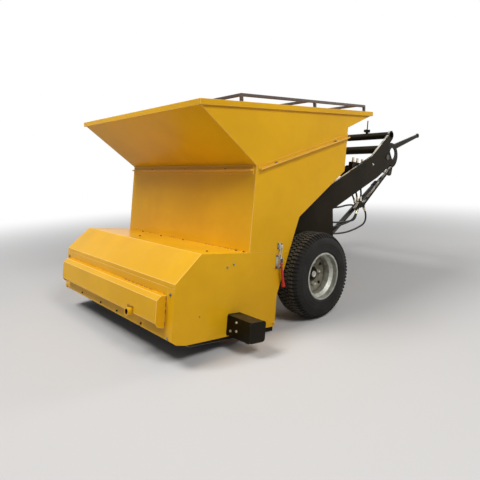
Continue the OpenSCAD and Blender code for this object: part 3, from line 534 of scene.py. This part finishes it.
def tube(name, points, radius, material):
    """A round tube along points, as a curve at the origin."""
    data = bpy.data.curves.new(name, "CURVE")
    data.dimensions = "3D"
    data.bevel_depth = radius
    data.bevel_resolution = 4
    data.use_fill_caps = True
    line = data.splines.new("POLY")
    line.points.add(len(points) - 1)
    for p, at in zip(line.points, points):
        p.co = (*at, 1.0)
    line.use_smooth = True
    data.materials.append(material)
    return bpy.data.objects.new(name, data)


# %% Hose routes
# Ends: ports of the block as (y, z, angle, stub, x), of the leg as (x from the arm's inner
# face, z), and of the valve block as y
HOSE_D = 18
ARM_IN = 765
PORT_X, RISER_X = 774, 761
FITTING = 46
LEG_REAR = 410
VALVE_X, VALVE_LOW = ARM_IN - 20, 975
BLOCK_PORTS = [
    (965, 648, -54, 30, PORT_X),
    (885, 612, -121, 30, PORT_X),
    (850, 650, 130, 14, RISER_X),
    (885, 664, 112, 20, RISER_X),
    (930, 664, 88, 20, RISER_X),
]
BULKHEAD_PORTS = [(-17, 335), (-17, 400), (-19, 447), (-19, 592)]
VALVE_PORTS = [765, 840, 925]


def block_end(i, out):
    """A point in front of the block's port i, out mm beyond its fitting."""
    y, z, angle, stub, x = BLOCK_PORTS[i]
    far = stub + FITTING + out
    return (x, y + far * cos(radians(angle)), z + far * sin(radians(angle)))


def bulkhead_end(i, out):
    """The same for the leg's port i."""
    return (ARM_IN + BULKHEAD_PORTS[i][0], LEG_REAR + FITTING + out, BULKHEAD_PORTS[i][1])


def valve_end(i, out):
    """The same for the valve block's port i."""
    return (VALVE_X, VALVE_PORTS[i], VALVE_LOW - FITTING - out)


# Each hose: how many points its tube has, and its route
HOSES = {
    "outer": (36, [
        block_end(0, 0), block_end(0, 20), (774, 1034, 542), (774, 1038, 512), (774, 1032, 482),
        (773, 1015, 457), (773, 989, 438), (772, 955, 423), (771, 912, 407), (770, 861, 390),
        (766, 810, 375), (762, 758, 361), (757, 700, 350), (752, 640, 342), (749, 575, 337),
        bulkhead_end(0, 40), bulkhead_end(0, 0)]),
    "middle": (26, [
        block_end(1, 0), block_end(1, 20), (773, 817, 503), (771, 789, 482), (768, 755, 465),
        (764, 710, 449), (759, 660, 434), (754, 608, 420), (750, 555, 408),
        bulkhead_end(1, 40), bulkhead_end(1, 0)]),
    "loop": (40, [
        bulkhead_end(2, 0), bulkhead_end(2, 45), (745, 560, 448), (745, 620, 450), (745, 680, 454),
        (745, 740, 461), (745, 792, 468), (745, 833, 474), (745, 868, 487), (745, 893, 515),
        (745, 902, 552), (745, 892, 590), (745, 866, 619), (745, 828, 632), (745, 782, 633),
        (745, 732, 628), (745, 680, 619), (745, 620, 606), (745, 560, 597),
        bulkhead_end(3, 45), bulkhead_end(3, 0)]),
    "rise_front": (18, [
        block_end(2, 0), block_end(2, 20), (757, 787, 731), (752, 777, 757), (749, 770, 790),
        (747, 766, 825), (745, 765, 862), valve_end(0, 30), valve_end(0, 0)]),
    "rise_middle": (18, [
        block_end(3, 0), block_end(3, 20), (757, 846, 765), (752, 842, 792), (748, 840, 825),
        (745, 840, 862), valve_end(1, 30), valve_end(1, 0)]),
    "rise_rear": (18, [
        block_end(4, 0), block_end(4, 25), (758, 932, 782), (754, 930, 810), (750, 928, 840),
        (747, 926, 868), valve_end(2, 30), valve_end(2, 0)]),
}
print("routes", {name: len(route) for name, (_, route) in HOSES.items()})

# %% Hoses
for name, (count, route) in HOSES.items():
    points, length = along([place(*p) for p in route], count)
    hose = tube("hydraulic_hose_" + name, points, HOSE_D / 2000, FINISH["hose_rubber"])
    dress(hose, "root", "hose_rubber", "hose_" + name)
    print("hose", name, "length", round(length, 3))

# %% [markdown]
# ## Folded and cut sheet
# In a solid model every edge is a knife edge. On the real machine the plates are cut and
# folded, sanded and sprayed, and each edge carries a thin bright line, because it is round
# over a few millimetres at most and mirrors the lamps. A Bevel modifier on a cleaned copy
# of each sheet makes that edge in real geometry, so it shows from every side. A Weighted
# Normal modifier after it keeps the large faces flat up to their edges. The new narrow faces
# are marked in the attribute "edge", and the paints give them a lighter tone, a painted
# highlight on top of what the lamps give.

# %% Edge rounding
# Points closer than this in metres are one, folds flatter than this are none, and edges
# sharper than this are rounded
MERGE = 0.00002
FLAT = radians(0.7)
SHARP = radians(15)


def clean_copy(node):
    """The node's mesh with its loose triangles merged back into whole faces."""
    work = bmesh.new()
    work.from_mesh(frame["nodes"][node].data)
    bmesh.ops.remove_doubles(work, verts=work.verts, dist=MERGE)
    bmesh.ops.dissolve_limit(work, angle_limit=FLAT, verts=work.verts, edges=work.edges)
    return work


def rounded(node, radius, body="root"):
    """Replaces a node by a copy whose sharp edges are round; radius in mm."""
    mesh = mesh_of("round_" + node, clean_copy(node))
    mesh.materials.append(frame["nodes"][node].material_slots[0].material)
    mesh.polygons.foreach_set("use_smooth", [True] * len(mesh.polygons))
    obj = bpy.data.objects.new("round_" + node, mesh)
    scene.collection.objects.link(obj)
    edge = obj.modifiers.new("edge", "BEVEL")
    edge.width = radius / 1000
    edge.segments = 2
    edge.limit_method = "ANGLE"
    edge.angle_limit = SHARP
    edge.miter_outer = "MITER_ARC"
    edge.material = 1
    level = obj.modifiers.new("level", "WEIGHTED_NORMAL")
    level.weight = 100
    level.keep_sharp = False
    mesh.materials.append(mesh.materials[0])
    deps = bpy.context.evaluated_depsgraph_get()
    done = bpy.data.meshes.new_from_object(obj.evaluated_get(deps), depsgraph=deps)
    obj.modifiers.clear()
    obj.data = done
    # The bevel's faces are marked, so that the paints give them a lighter tone: a painted highlight
    mark = done.attributes.new("edge", "FLOAT", "FACE")
    mark.data.foreach_set("value", [float(p.material_index) for p in done.polygons])
    done.polygons.foreach_set("material_index", [0] * len(done.polygons))
    done.materials.pop(index=1)
    dress(obj, body, SLOT[node], node)


# %% Rounded sheets
SHEETS = {
    "side_panel_right": 2.9, "side_panel_left": 2.9, "box_cover": 2.8, "front_plate": 1.5,
    "front_housing": 2.5, "box_rear_wall": 2.0, "hopper_front": 1.0, "hopper_side_right": 1.6,
    "hopper_side_left": 1.6, "hopper_rear": 1.6, "lower_flange": 1.6, "upper_flange": 1.6,
    "funnel_front": 1.6, "funnel_side_right": 1.6, "funnel_side_left": 1.6, "funnel_rear": 1.6,
    "rim": 1.8, "screed": 2.0, "skid_runners": 3.0, "side_brackets": 2.0, "guard_frame": 3.0,
    "chassis_plate_left": 4.0, "chassis_plate_right": 4.0, "valve_block": 3.0,
}
HITCH_SHEETS = {"hitch_arm_right": 2.0, "hitch_arm_left": 2.0}
for node, radius in SHEETS.items():
    rounded(node, radius)
for node, radius in HITCH_SHEETS.items():
    rounded(node, radius, "hitch")
print("rounded", len(SHEETS) + len(HITCH_SHEETS))

# %% [markdown]
# ## Trees of nodes for what repeats
# Bolts, tread blocks, wheel nuts and weld beads repeat, so each comes from one small mesh
# and a Geometry Nodes tree that lays it out. The tree's inputs have names, and `laid_out`
# sets them by their identifiers, takes the plain mesh and throws the modifier away.

# %% Tree helpers
def new_tree(name, inputs):
    """An empty geometry tree with named inputs; returns the tree and its end nodes."""
    tree = bpy.data.node_groups.new(name, "GeometryNodeTree")
    tree.interface.new_socket("Geometry", in_out="OUTPUT", socket_type="NodeSocketGeometry")
    for label, kind in inputs.items():
        tree.interface.new_socket(label, in_out="INPUT", socket_type="NodeSocket" + kind)
    return tree, tree.nodes.new("NodeGroupInput"), tree.nodes.new("NodeGroupOutput")


def finish_tree(tree, geometry, start, end):
    """Realizes the instances and sets the material, as the export needs."""
    real = add(tree, "GeometryNodeRealizeInstances")
    paint = add(tree, "GeometryNodeSetMaterial")
    wire(tree,
         (geometry, real.inputs[0]),
         (real.outputs[0], paint.inputs["Geometry"]),
         (start.outputs["Material"], paint.inputs["Material"]),
         (paint.outputs[0], end.inputs[0]))


def laid_out(tree, name, mesh=None, **values):
    """Runs a tree on a mesh and returns the plain mesh that it makes."""
    host = bpy.data.objects.new(name, mesh or bpy.data.meshes.new(name))
    scene.collection.objects.link(host)
    mod = host.modifiers.new("lay", "NODES")
    mod.node_group = tree
    for item in tree.interface.items_tree:
        key = item.name.lower().replace(" ", "_")
        if item.in_out == "INPUT" and key in values:
            mod[item.identifier] = values[key]
    deps = bpy.context.evaluated_depsgraph_get()
    made = bpy.data.meshes.new_from_object(host.evaluated_get(deps), depsgraph=deps)
    bpy.data.objects.remove(host)
    return made


PATTERNS = []


def shape_object(name, work):
    """A small mesh that a tree lays out; it is taken away at the end."""
    obj = bpy.data.objects.new(name, mesh_of(name, work))
    scene.collection.objects.link(obj)
    PATTERNS.append(obj)
    return obj


# %% [markdown]
# A fastener stands on each point of a mesh, along the point's own direction, and is turned
# by chance about it, because nobody lines up bolt heads.

# %% Fastener tree
fasteners, f_in, f_end = new_tree(
    "fasteners", {"Geometry": "Geometry", "Head": "Object", "Seed": "Int", "Material": "Material"})
head_in = add(fasteners, "GeometryNodeObjectInfo")
out_of = add(fasteners, "GeometryNodeInputNamedAttribute", data_type="FLOAT_VECTOR")
out_of.inputs["Name"].default_value = "out"
stand_up = add(fasteners, "FunctionNodeAlignRotationToVector", axis="Z")
any_turn = add(fasteners, "FunctionNodeRandomValue", data_type="FLOAT")
any_turn.inputs[3].default_value = 2 * pi
as_vector = add(fasteners, "ShaderNodeCombineXYZ")
as_turn = add(fasteners, "FunctionNodeEulerToRotation")
both = add(fasteners, "FunctionNodeRotateRotation", rotation_space="LOCAL")
put = add(fasteners, "GeometryNodeInstanceOnPoints")
wire(fasteners,
     (f_in.outputs["Head"], head_in.inputs["Object"]),
     (out_of.outputs["Attribute"], stand_up.inputs["Vector"]),
     (f_in.outputs["Seed"], any_turn.inputs["Seed"]),
     (any_turn.outputs[1], as_vector.inputs["Z"]),
     (as_vector.outputs[0], as_turn.inputs[0]),
     (stand_up.outputs[0], both.inputs[0]),
     (as_turn.outputs[0], both.inputs[1]),
     (f_in.outputs["Geometry"], put.inputs["Points"]),
     (head_in.outputs["Geometry"], put.inputs["Instance"]),
     (both.outputs[0], put.inputs["Rotation"]))
finish_tree(fasteners, put.outputs[0], f_in, f_end)
print("tree", fasteners.name, "nodes", len(fasteners.nodes))

# %% [markdown]
# Around the axle, all instances share one point on it and differ in their turn only. So a
# part is drawn at its radius once and comes round as often as the count says.

# %% Wheel tree
wheelwork, w_in, w_end = new_tree(
    "around_the_axle", {"Part": "Object", "Count": "Int", "Phase": "Float", "Centre": "Vector",
                        "Material": "Material"})
part_in = add(wheelwork, "GeometryNodeObjectInfo")
spots = add(wheelwork, "GeometryNodePoints")
number = add(wheelwork, "GeometryNodeInputIndex")
share = add(wheelwork, "ShaderNodeMath", operation="DIVIDE")
angle = add(wheelwork, "ShaderNodeMath", operation="MULTIPLY_ADD")
angle.inputs[1].default_value = 2 * pi
spin = add(wheelwork, "ShaderNodeCombineXYZ")
spin_turn = add(wheelwork, "FunctionNodeEulerToRotation")
ring = add(wheelwork, "GeometryNodeInstanceOnPoints")
wire(wheelwork,
     (w_in.outputs["Part"], part_in.inputs["Object"]),
     (w_in.outputs["Count"], spots.inputs["Count"]),
     (w_in.outputs["Centre"], spots.inputs["Position"]),
     (number.outputs[0], share.inputs[0]),
     (w_in.outputs["Count"], share.inputs[1]),
     (share.outputs[0], angle.inputs[0]),
     (w_in.outputs["Phase"], angle.inputs[2]),
     (angle.outputs[0], spin.inputs["X"]),
     (spin.outputs[0], spin_turn.inputs[0]),
     (spots.outputs[0], ring.inputs["Points"]),
     (part_in.outputs["Geometry"], ring.inputs["Instance"]),
     (spin_turn.outputs[0], ring.inputs["Rotation"]))
finish_tree(wheelwork, ring.outputs[0], w_in, w_end)
print("tree", wheelwork.name, "nodes", len(wheelwork.nodes))

# %% [markdown]
# A weld bead is a row of drops that overlap, a little uneven in size, along a line.

# %% Weld tree
welding, b_in, b_end = new_tree(
    "weld_bead", {"Geometry": "Geometry", "Step": "Float", "Width": "Float", "Seed": "Int",
                  "Material": "Material"})
to_curve = add(welding, "GeometryNodeMeshToCurve")
even = add(welding, "GeometryNodeResampleCurve", mode="LENGTH")
drop = add(welding, "GeometryNodeMeshIcoSphere")
drop.inputs["Subdivisions"].default_value = 2
vary = add(welding, "FunctionNodeRandomValue", data_type="FLOAT")
vary.inputs[2].default_value, vary.inputs[3].default_value = 0.85, 1.15
bead = add(welding, "GeometryNodeInstanceOnPoints")
wire(welding,
     (b_in.outputs["Geometry"], to_curve.inputs[0]),
     (to_curve.outputs[0], even.inputs["Curve"]),
     (b_in.outputs["Step"], even.inputs["Length"]),
     (b_in.outputs["Width"], drop.inputs["Radius"]),
     (b_in.outputs["Seed"], vary.inputs["Seed"]),
     (even.outputs[0], bead.inputs["Points"]),
     (drop.outputs[0], bead.inputs["Instance"]),
     (vary.outputs[1], bead.inputs["Scale"]))
finish_tree(welding, bead.outputs[0], b_in, b_end)
print("tree", welding.name, "nodes", len(welding.nodes))

# %% [markdown]
# ## Tyres
# A wide implement tyre has six rows of small rubber blocks, about 34 mm from one to the
# next round the tread. The four middle rows are bent like a shallow arrow and stand half a
# block apart from row to row. The two shoulder rows are longer and fall away with the
# shoulder. The carcass is turned from its section, and the blocks come from the wheel tree.

# %% Turned shapes
# The wheel's outer face from the machine's middle plane, how far the tyre stands out of it,
# the tyre's width, and its radii over the blocks and between them
WHEEL_OUT = 1068
TYRE_PROUD = 9
TYRE_W = 264
TYRE_R = 368
TREAD_R = 356
SMOOTH = radians(38)


def revolved(outline, segments, at):
    """A closed outline of (along, radius) turned about a line; at(along, a, b) is its point
    a and b away from the line. Faces that would lie on the line itself are left out."""
    work = bmesh.new()
    rows = []
    for k in range(segments):
        a = 2 * pi * k / segments
        rows.append([work.verts.new(at(x, r * cos(a), r * sin(a))) for x, r in outline])
    for row, after in zip(rows, rows[1:] + rows[:1]):
        for i in range(len(outline)):
            j = (i + 1) % len(outline)
            if outline[i][1] or outline[j][1]:
                work.faces.new((row[i], row[j], after[j], after[i]))
    return work


def turned(name, outline, side, segments=96):
    """A closed outline of (mm from the middle plane, radius) turned about the axle."""
    work = revolved(outline, segments, lambda x, y, z: AXLE + Vector((side * x, y, z)) / 1000)
    bmesh.ops.recalc_face_normals(work, faces=work.faces)
    mesh = mesh_of(name, work)
    mesh.polygons.foreach_set("use_smooth", [True] * len(mesh.polygons))
    mesh.set_sharp_from_angle(angle=SMOOTH)
    return mesh


def prism(outline, low, high):
    """A block: an outline of (across, round) in mm, from radius low up to high(across)."""
    work = bmesh.new()
    foot = [work.verts.new(Vector((x, y, low)) / 1000) for x, y in outline]
    top = [work.verts.new(Vector((x, y, high(x))) / 1000) for x, y in outline]
    work.faces.new(foot[::-1])
    work.faces.new(top)
    for i in range(len(outline)):
        j = (i + 1) % len(outline)
        work.faces.new((foot[i], foot[j], top[j], top[i]))
    bmesh.ops.recalc_face_normals(work, faces=work.faces)
    return work


# %% Tyre section
# Halves of the outer and inner outline as (mm from the tyre's middle, radius)
TYRE_MIDDLE = WHEEL_OUT + TYRE_PROUD - TYRE_W / 2
OUTER = [
    (119, 195), (126, 206), (129, 214), (131.5, 222), (131.5, 228), (130, 231), (132, 240),
    (132, 262), (131, 276), (131.6, 279), (131.6, 284), (130, 288), (128, 306), (123, 322),
    (116, 334), (106, 345), (92, 352), (74, 355.5), (40, TREAD_R), (0, TREAD_R),
]
INNER = [(0, 338), (70, 336), (100, 326), (114, 296), (114, 240), (96, 195)]
section = ([(TYRE_MIDDLE + x, r) for x, r in OUTER]
           + [(TYRE_MIDDLE - x, r) for x, r in OUTER[-2::-1]]
           + [(TYRE_MIDDLE - x, r) for x, r in INNER[::-1]]
           + [(TYRE_MIDDLE + x, r) for x, r in INNER[1:]])
print("tyre section", len(section), "points")

# %% Tread blocks
# The middle rows as (across, width, bend); the shoulder blocks' tops fall with the square
# of the distance across
BLOCKS = 68
BLOCK_ROUND = 22.0
BLOCK_FOOT = TREAD_R - 4
BLOCK_TOP = TYRE_R - 0.6
MIDDLE_ROWS = [(-56, 30, 3.5), (-19, 32, -3.5), (19, 32, 3.5), (56, 30, -3.5)]
SHOULDER_ACROSS = 76
SHOULDER_FOOT = 322
SHOULDER_TOP = TYRE_R - 1
SHOULDER_FALL = 0.0125


def arrow(width, bend):
    """Outline of a middle block, bent by so many mm at its middle."""
    w, h = width / 2, BLOCK_ROUND / 2
    return [(-w, -h), (0, -h + bend), (w, -h), (w, h), (0, h + bend), (-w, h)]


def shoulder(sign):
    """Outline of a shoulder block, wider towards the edge."""
    h = BLOCK_ROUND / 2
    pts = [(0, -h + 2), (16, -h), (45, -h + 2), (45, h - 3), (16, h), (0, h - 2)]
    return [(sign * x, y) for x, y in pts][::sign]


def block_row(block, x, shift):
    """A block laid out round a tyre at x; a shift of 1 is half the way to the next block."""
    return laid_out(wheelwork, "row", part=block, count=BLOCKS, phase=shift * pi / BLOCKS,
                    centre=AXLE + Vector((x, 0, 0)) / 1000, material=FINISH["tyre"])


def joined(name, meshes):
    """One mesh from several."""
    work = bmesh.new()
    for mesh in meshes:
        work.from_mesh(mesh)
    return mesh_of(name, work)


# %% Tyres
for side, word in SIDES:
    parts = [turned("carcass_" + word, section, side)]
    for row, (across, width, bend) in enumerate(MIDDLE_ROWS):
        block = shape_object("block_%d_%s" % (row, word),
                             prism(arrow(width, bend), BLOCK_FOOT, lambda x: BLOCK_TOP))
        parts.append(block_row(block, side * (TYRE_MIDDLE + across), row % 2))
    for end in (-1, 1):
        block = shape_object("shoulder_%d_%s" % (end, word),
                             prism(shoulder(end), SHOULDER_FOOT,
                                   lambda x: SHOULDER_TOP - SHOULDER_FALL * x * x))
        parts.append(block_row(block, side * TYRE_MIDDLE + end * SHOULDER_ACROSS, end > 0))
    whole = joined("block_tyre_" + word, parts)
    whole.materials.append(FINISH["tyre"])
    tyre = bpy.data.objects.new("block_tyre_" + word, whole)
    dress(tyre, "wheel_" + word, "tyre", "tyre_" + word)
    print(tyre.name, "triangles", sum(len(p.vertices) - 2 for p in whole.polygons))

# %% [markdown]
# ## Wheel centres
# The hub is a black turned body in the middle of the galvanised disc, with a pale pressed
# cap in it. Five nuts on studs hold the disc. The hub's solid is replaced by its turned
# body, and the cap and nuts are pieces of their own, because they have another finish.

# %% Hubs
# Outlines as (mm from the machine's middle plane, radius), given from the disc's plane
DISH = WHEEL_OUT - 132
HUB_BODY = [
    (DISH - 60, 22.6), (DISH - 60, 120), (DISH - 20.4, 120), (DISH - 20.4, 63.3),
    (DISH + 8, 63.3), (DISH + 10, 61), (DISH + 10, 37), (DISH + 12, 34), (DISH + 25, 34),
    (DISH + 27, 32), (DISH + 27, 22.6),
]
CAP = [
    (DISH + 5, 12), (DISH + 5, 22), (DISH + 27.2, 22), (DISH + 27.2, 28), (DISH + 30, 28),
    (DISH + 32, 25), (DISH + 31, 20), (DISH + 29, 12), (DISH + 28, 1), (DISH + 20, 1),
    (DISH + 20, 12),
]
NUTS = 5
NUT_PHASE = radians(-72)
NUT_SEAT = DISH - 8
NUT_RADIUS = 102.5


def hex_bolt(across, height, washer, shank=0.0, shank_d=0.0):
    """A hexagonal head on a washer, standing up along +Z, with a chamfered top. A shank, if
    given, stands out of the head, as a stud does out of its nut."""
    work = bmesh.new()

    def stack(sides, rings):
        """Rings of (radius, height), closed at both ends."""
        loops = []
        for r, z in rings:
            loops.append([work.verts.new(Vector((r * cos(2 * pi * k / sides),
                                                 r * sin(2 * pi * k / sides), z)) / 1000)
                          for k in range(sides)])
        work.faces.new(loops[0][::-1])
        work.faces.new(loops[-1])
        for a, b in zip(loops, loops[1:]):
            for k in range(sides):
                n = (k + 1) % sides
                work.faces.new((a[k], a[n], b[n], b[k]))

    foot = 2.0
    top = foot + height
    corner = across / 2 / cos(pi / 6)
    stack(20, [(washer / 2, -0.2), (washer / 2, 1.8), (washer / 2 - 0.6, 2.2)])
    stack(6, [(corner, foot), (corner, foot + height * 0.85), (corner * 0.88, top)])
    if shank:
        stack(12, [(shank_d / 2, 1.0), (shank_d / 2, top + shank - 1),
                   (shank_d / 2 - 1.2, top + shank)])
    return work


for side, word in SIDES:
    for name, outline, material, hidden in (
            ("hub_body_" + word, HUB_BODY, "black_paint", ["hub_" + word]),
            ("hub_cap_" + word, CAP, "zinc_plate", [])):
        mesh = turned(name, outline, side, 64)
        mesh.materials.append(FINISH[material])
        dress(bpy.data.objects.new(name, mesh), "wheel_" + word, material, *hidden)
    nut = hex_bolt(27, 16, 34, 7, 18)
    tip = Matrix.Translation((0, NUT_RADIUS / 1000, 0)) @ Matrix.Rotation(side * pi / 2, 4, "Y")
    bmesh.ops.transform(nut, matrix=tip, verts=nut.verts)
    stud = shape_object("stud_" + word, nut)
    nuts = laid_out(wheelwork, "nuts", part=stud, count=NUTS, phase=NUT_PHASE,
                    centre=AXLE + Vector((side * NUT_SEAT, 0, 0)) / 1000,
                    material=FINISH["zinc_plate"])
    dress(bpy.data.objects.new("wheel_nuts_" + word, nuts), "wheel_" + word, "zinc_plate")
    print("hub", word, "nuts", NUTS)

# %% [markdown]
# ## Bolts
# Hexagonal bolts, zinc-plated, of dark steel or painted black, hold the cover, the strips,
# the flanges and the brackets, where the photograph shows them. The cover's dark bolts and
# the darker zinc of the bolts on the strips, housing, flange sides and panels are painted
# shade. Each entry is a place and the way that it faces, in the machine's own frame. The
# places become the points of a mesh, with the direction as an attribute that the fastener
# tree reads.

# %% Bolt places
# The flanges rise from the hopper's front wall to its rear wall; tops are of the bars
FRONT_Y, FRONT_TOP = -773, 826
REAR_Y, REAR_TOP = 342, 1246
FLANGE_SLOPE = atan2(REAR_TOP - FRONT_TOP, REAR_Y - FRONT_Y)
UP, AHEAD = (0, 0, 1), (0, -1, 0)
FLANGE_UP = (0, -sin(FLANGE_SLOPE), cos(FLANGE_SLOPE))


def on_flange(x, y):
    """The top of the sloping flange at x and y."""
    return (x, y, FRONT_TOP + (y - FRONT_Y) * tan(FLANGE_SLOPE))


# Each group: size over the flats, head, washer, finish, and (place, way out)
BOLTS = {
    # The cover's bolts are dark as painted shade
    "cover": (13, 5, 18, "greased_steel", [
        ((x, y, 198), UP) for x, y in (
            (-625, -796), (-205, -840), (117, -810), (814, -792), (901, -792),
            (-192, -1067), (830, -1086))]),
    "strip": (15, 7, 24, "bolt_zinc", [
        ((s * 900, -1416, z), AHEAD) for s in (1, -1) for z in (-76, -372)]),
    "plate": (13, 5, 18, "black_paint", [
        ((x, -1416, -360), AHEAD) for x in (-539, -142, 157, 543)]),
    "housing": (17, 9, 26, "bolt_zinc", [((-153, -1404, -90), UP)]),
    "flange_side": (17, 8, 26, "bolt_zinc", [
        (on_flange(s * 968, y), FLANGE_UP) for s in (1, -1) for y in (-580, 148)]),
    "flange_front": (13, 5, 18, "black_paint", [
        ((x, -792, FRONT_TOP), UP) for x in (-534, 39, 607)]),
    "flange_rear": (13, 5, 18, "black_paint", [
        ((x, 360, REAR_TOP), UP) for x in (-534, 39, 607)]),
    "bracket": (15, 6, 20, "zinc_plate", [
        ((s * x, -942, z), AHEAD) for s in (1, -1)
        for x, z in ((1051, -283), (992, -359), (1055, -345))]),
    "panel": (13, 5, 18, "bolt_zinc", [
        ((s * 950, y, z), (s, 0, 0)) for s in (1, -1) for y, z in ((-982, 96), (-922, 116))]),
    "latch": (9, 4, 13, "black_paint", [
        ((s * 954, -452 + dy, z), (s, 0, 0)) for s in (1, -1) for dy, z in (
            (-24, 74), (24, 74), (-24, 168), (24, 168), (-19, 230), (19, 230), (-19, 264),
            (19, 264))]),
    "arm": (17, 8, 24, "zinc_plate", [
        ((s * 790, 1065, 1079), (s, 0, 0)) for s in (1, -1)]),
}
print("bolt places", {name: len(group[-1]) for name, group in BOLTS.items()})

# %% Bolts
for name, (across, height, washer, material, places) in BOLTS.items():
    dots = bpy.data.meshes.new("places_" + name)
    dots.from_pydata([place(*at) for at, _ in places], [], [])
    out = dots.attributes.new("out", "FLOAT_VECTOR", "POINT")
    out.data.foreach_set("vector", [c for _, way in places for c in aim(*way)])
    head = shape_object("head_" + name, hex_bolt(across, height, washer))
    made = laid_out(fasteners, "bolts_" + name, dots, head=head, seed=len(name),
                    material=FINISH[material])
    slot = "black_paint" if material == "black_paint" else "zinc_plate"
    dress(bpy.data.objects.new("bolts_" + name, made), "root", slot)
print("bolts", sum(len(group[-1]) for group in BOLTS.values()))

# %% [markdown]
# ## Welds
# The housing is stitch-welded to the front plate: short runs with gaps between them, some
# painted over and some grey with dirt in the photograph. The hopper's foot and the brackets
# have such runs too. A run is a row of overlapping drops along a line.

# %% Weld runs
# Places along the seams, then where the seams are
PAINTED = (-790, -715, -640, -565, -490, -415, -260, -185, -110, -35, 40, 115, 190, 720, 795)
BARE = (265, 325, 388, 450, 510, 575, 642)
BARE_SIDE = (-107, -153, -200, -282)
FOOT = (-800, -520, -123, -82, 406, 450, 500, 597, 666, 700, 740, 785)
SEAM_Y, SEAM_Z = -1417, -89
FOOT_Y, FOOT_Z = -776, 199
HOUSING_X = 853
BRACKET_X = 951
# From drop to drop, as a share of the bead's width
DROP_STEP = 0.55


def stitches(places, half, y, z):
    """Short runs along X, reaching half mm to each side of their places."""
    return [((x - half, y, z), (x + half, y, z)) for x in places]


# Each group: the bead's width, finish, slot and runs
WELDS = {
    "weld_housing_top": (
        7, "yellow_paint", "yellow_paint", stitches(PAINTED, 15, SEAM_Y, SEAM_Z)),
    "weld_housing_bare": (
        7, "weld_grime", "yellow_paint", stitches(BARE, 16, SEAM_Y - 1, SEAM_Z) + [
            ((s * HOUSING_X, SEAM_Y, z - 11), (s * HOUSING_X, SEAM_Y, z + 11))
            for s in (1, -1) for z in BARE_SIDE]),
    "weld_hopper_foot": (5, "weld_grime", "yellow_paint", stitches(FOOT, 8, FOOT_Y, FOOT_Z)),
    "weld_brackets": (8, "black_paint", "black_paint", [
        ((s * BRACKET_X, -935, -249), (s * BRACKET_X, -825, -249)) for s in (1, -1)] + [
        ((s * BRACKET_X, -943, -262), (s * BRACKET_X, -943, -388)) for s in (1, -1)]),
}
for seed, (name, (width, material, slot, runs)) in enumerate(WELDS.items(), 1):
    lines = bpy.data.meshes.new("lines_" + name)
    lines.from_pydata([place(*at) for run in runs for at in run],
                      [(2 * i, 2 * i + 1) for i in range(len(runs))], [])
    made = laid_out(welding, name, lines, step=width * DROP_STEP / 1000, width=width / 2000,
                    seed=seed, material=FINISH[material])
    made.polygons.foreach_set("use_smooth", [True] * len(made.polygons))
    dress(bpy.data.objects.new(name, made), "root", slot)
print("weld runs", sum(len(weld[-1]) for weld in WELDS.values()))

# %% [markdown]
# ## The pipe's bore
# The pipe under the housing was painted from outside only, so its open end shows dark red.
# A thin dark red cup in the bore of the pipe under the housing paints shade into its open
# end, with a painted red reflection: an outline turned about the pipe's own line.

# %% Painted shade in the bore
PIPE_X, PIPE_Z = 500, -273
MOUTH_Y, END_Y = -1517, -1437
CUP_OUT, CUP_IN = 20.9, 20.4
CUP = [(MOUTH_Y, CUP_OUT), (MOUTH_Y, CUP_IN), (END_Y, CUP_IN), (END_Y, 0),
       (END_Y + 0.5, 0), (END_Y + 0.5, CUP_OUT)]
work = revolved(CUP, 32, lambda y, x, z: place(PIPE_X + x, y, PIPE_Z + z))
bmesh.ops.remove_doubles(work, verts=work.verts, dist=MERGE)
bmesh.ops.recalc_face_normals(work, faces=work.faces)
cup = mesh_of("pipe_lining", work)
# The cup's dark red is painted shade with a painted red reflection
cup.materials.append(FINISH["bare_bore"])
dress(bpy.data.objects.new("pipe_lining", cup), "root", "yellow_paint")
print("shade_cup", len(cup.polygons), "faces")

# %% [markdown]
# ## The patterns
# The small meshes that the trees have laid out are no part of the machine.

# %% Take the patterns away
for obj in PATTERNS:
    bpy.data.objects.remove(obj)
print("patterns taken away", len(PATTERNS))
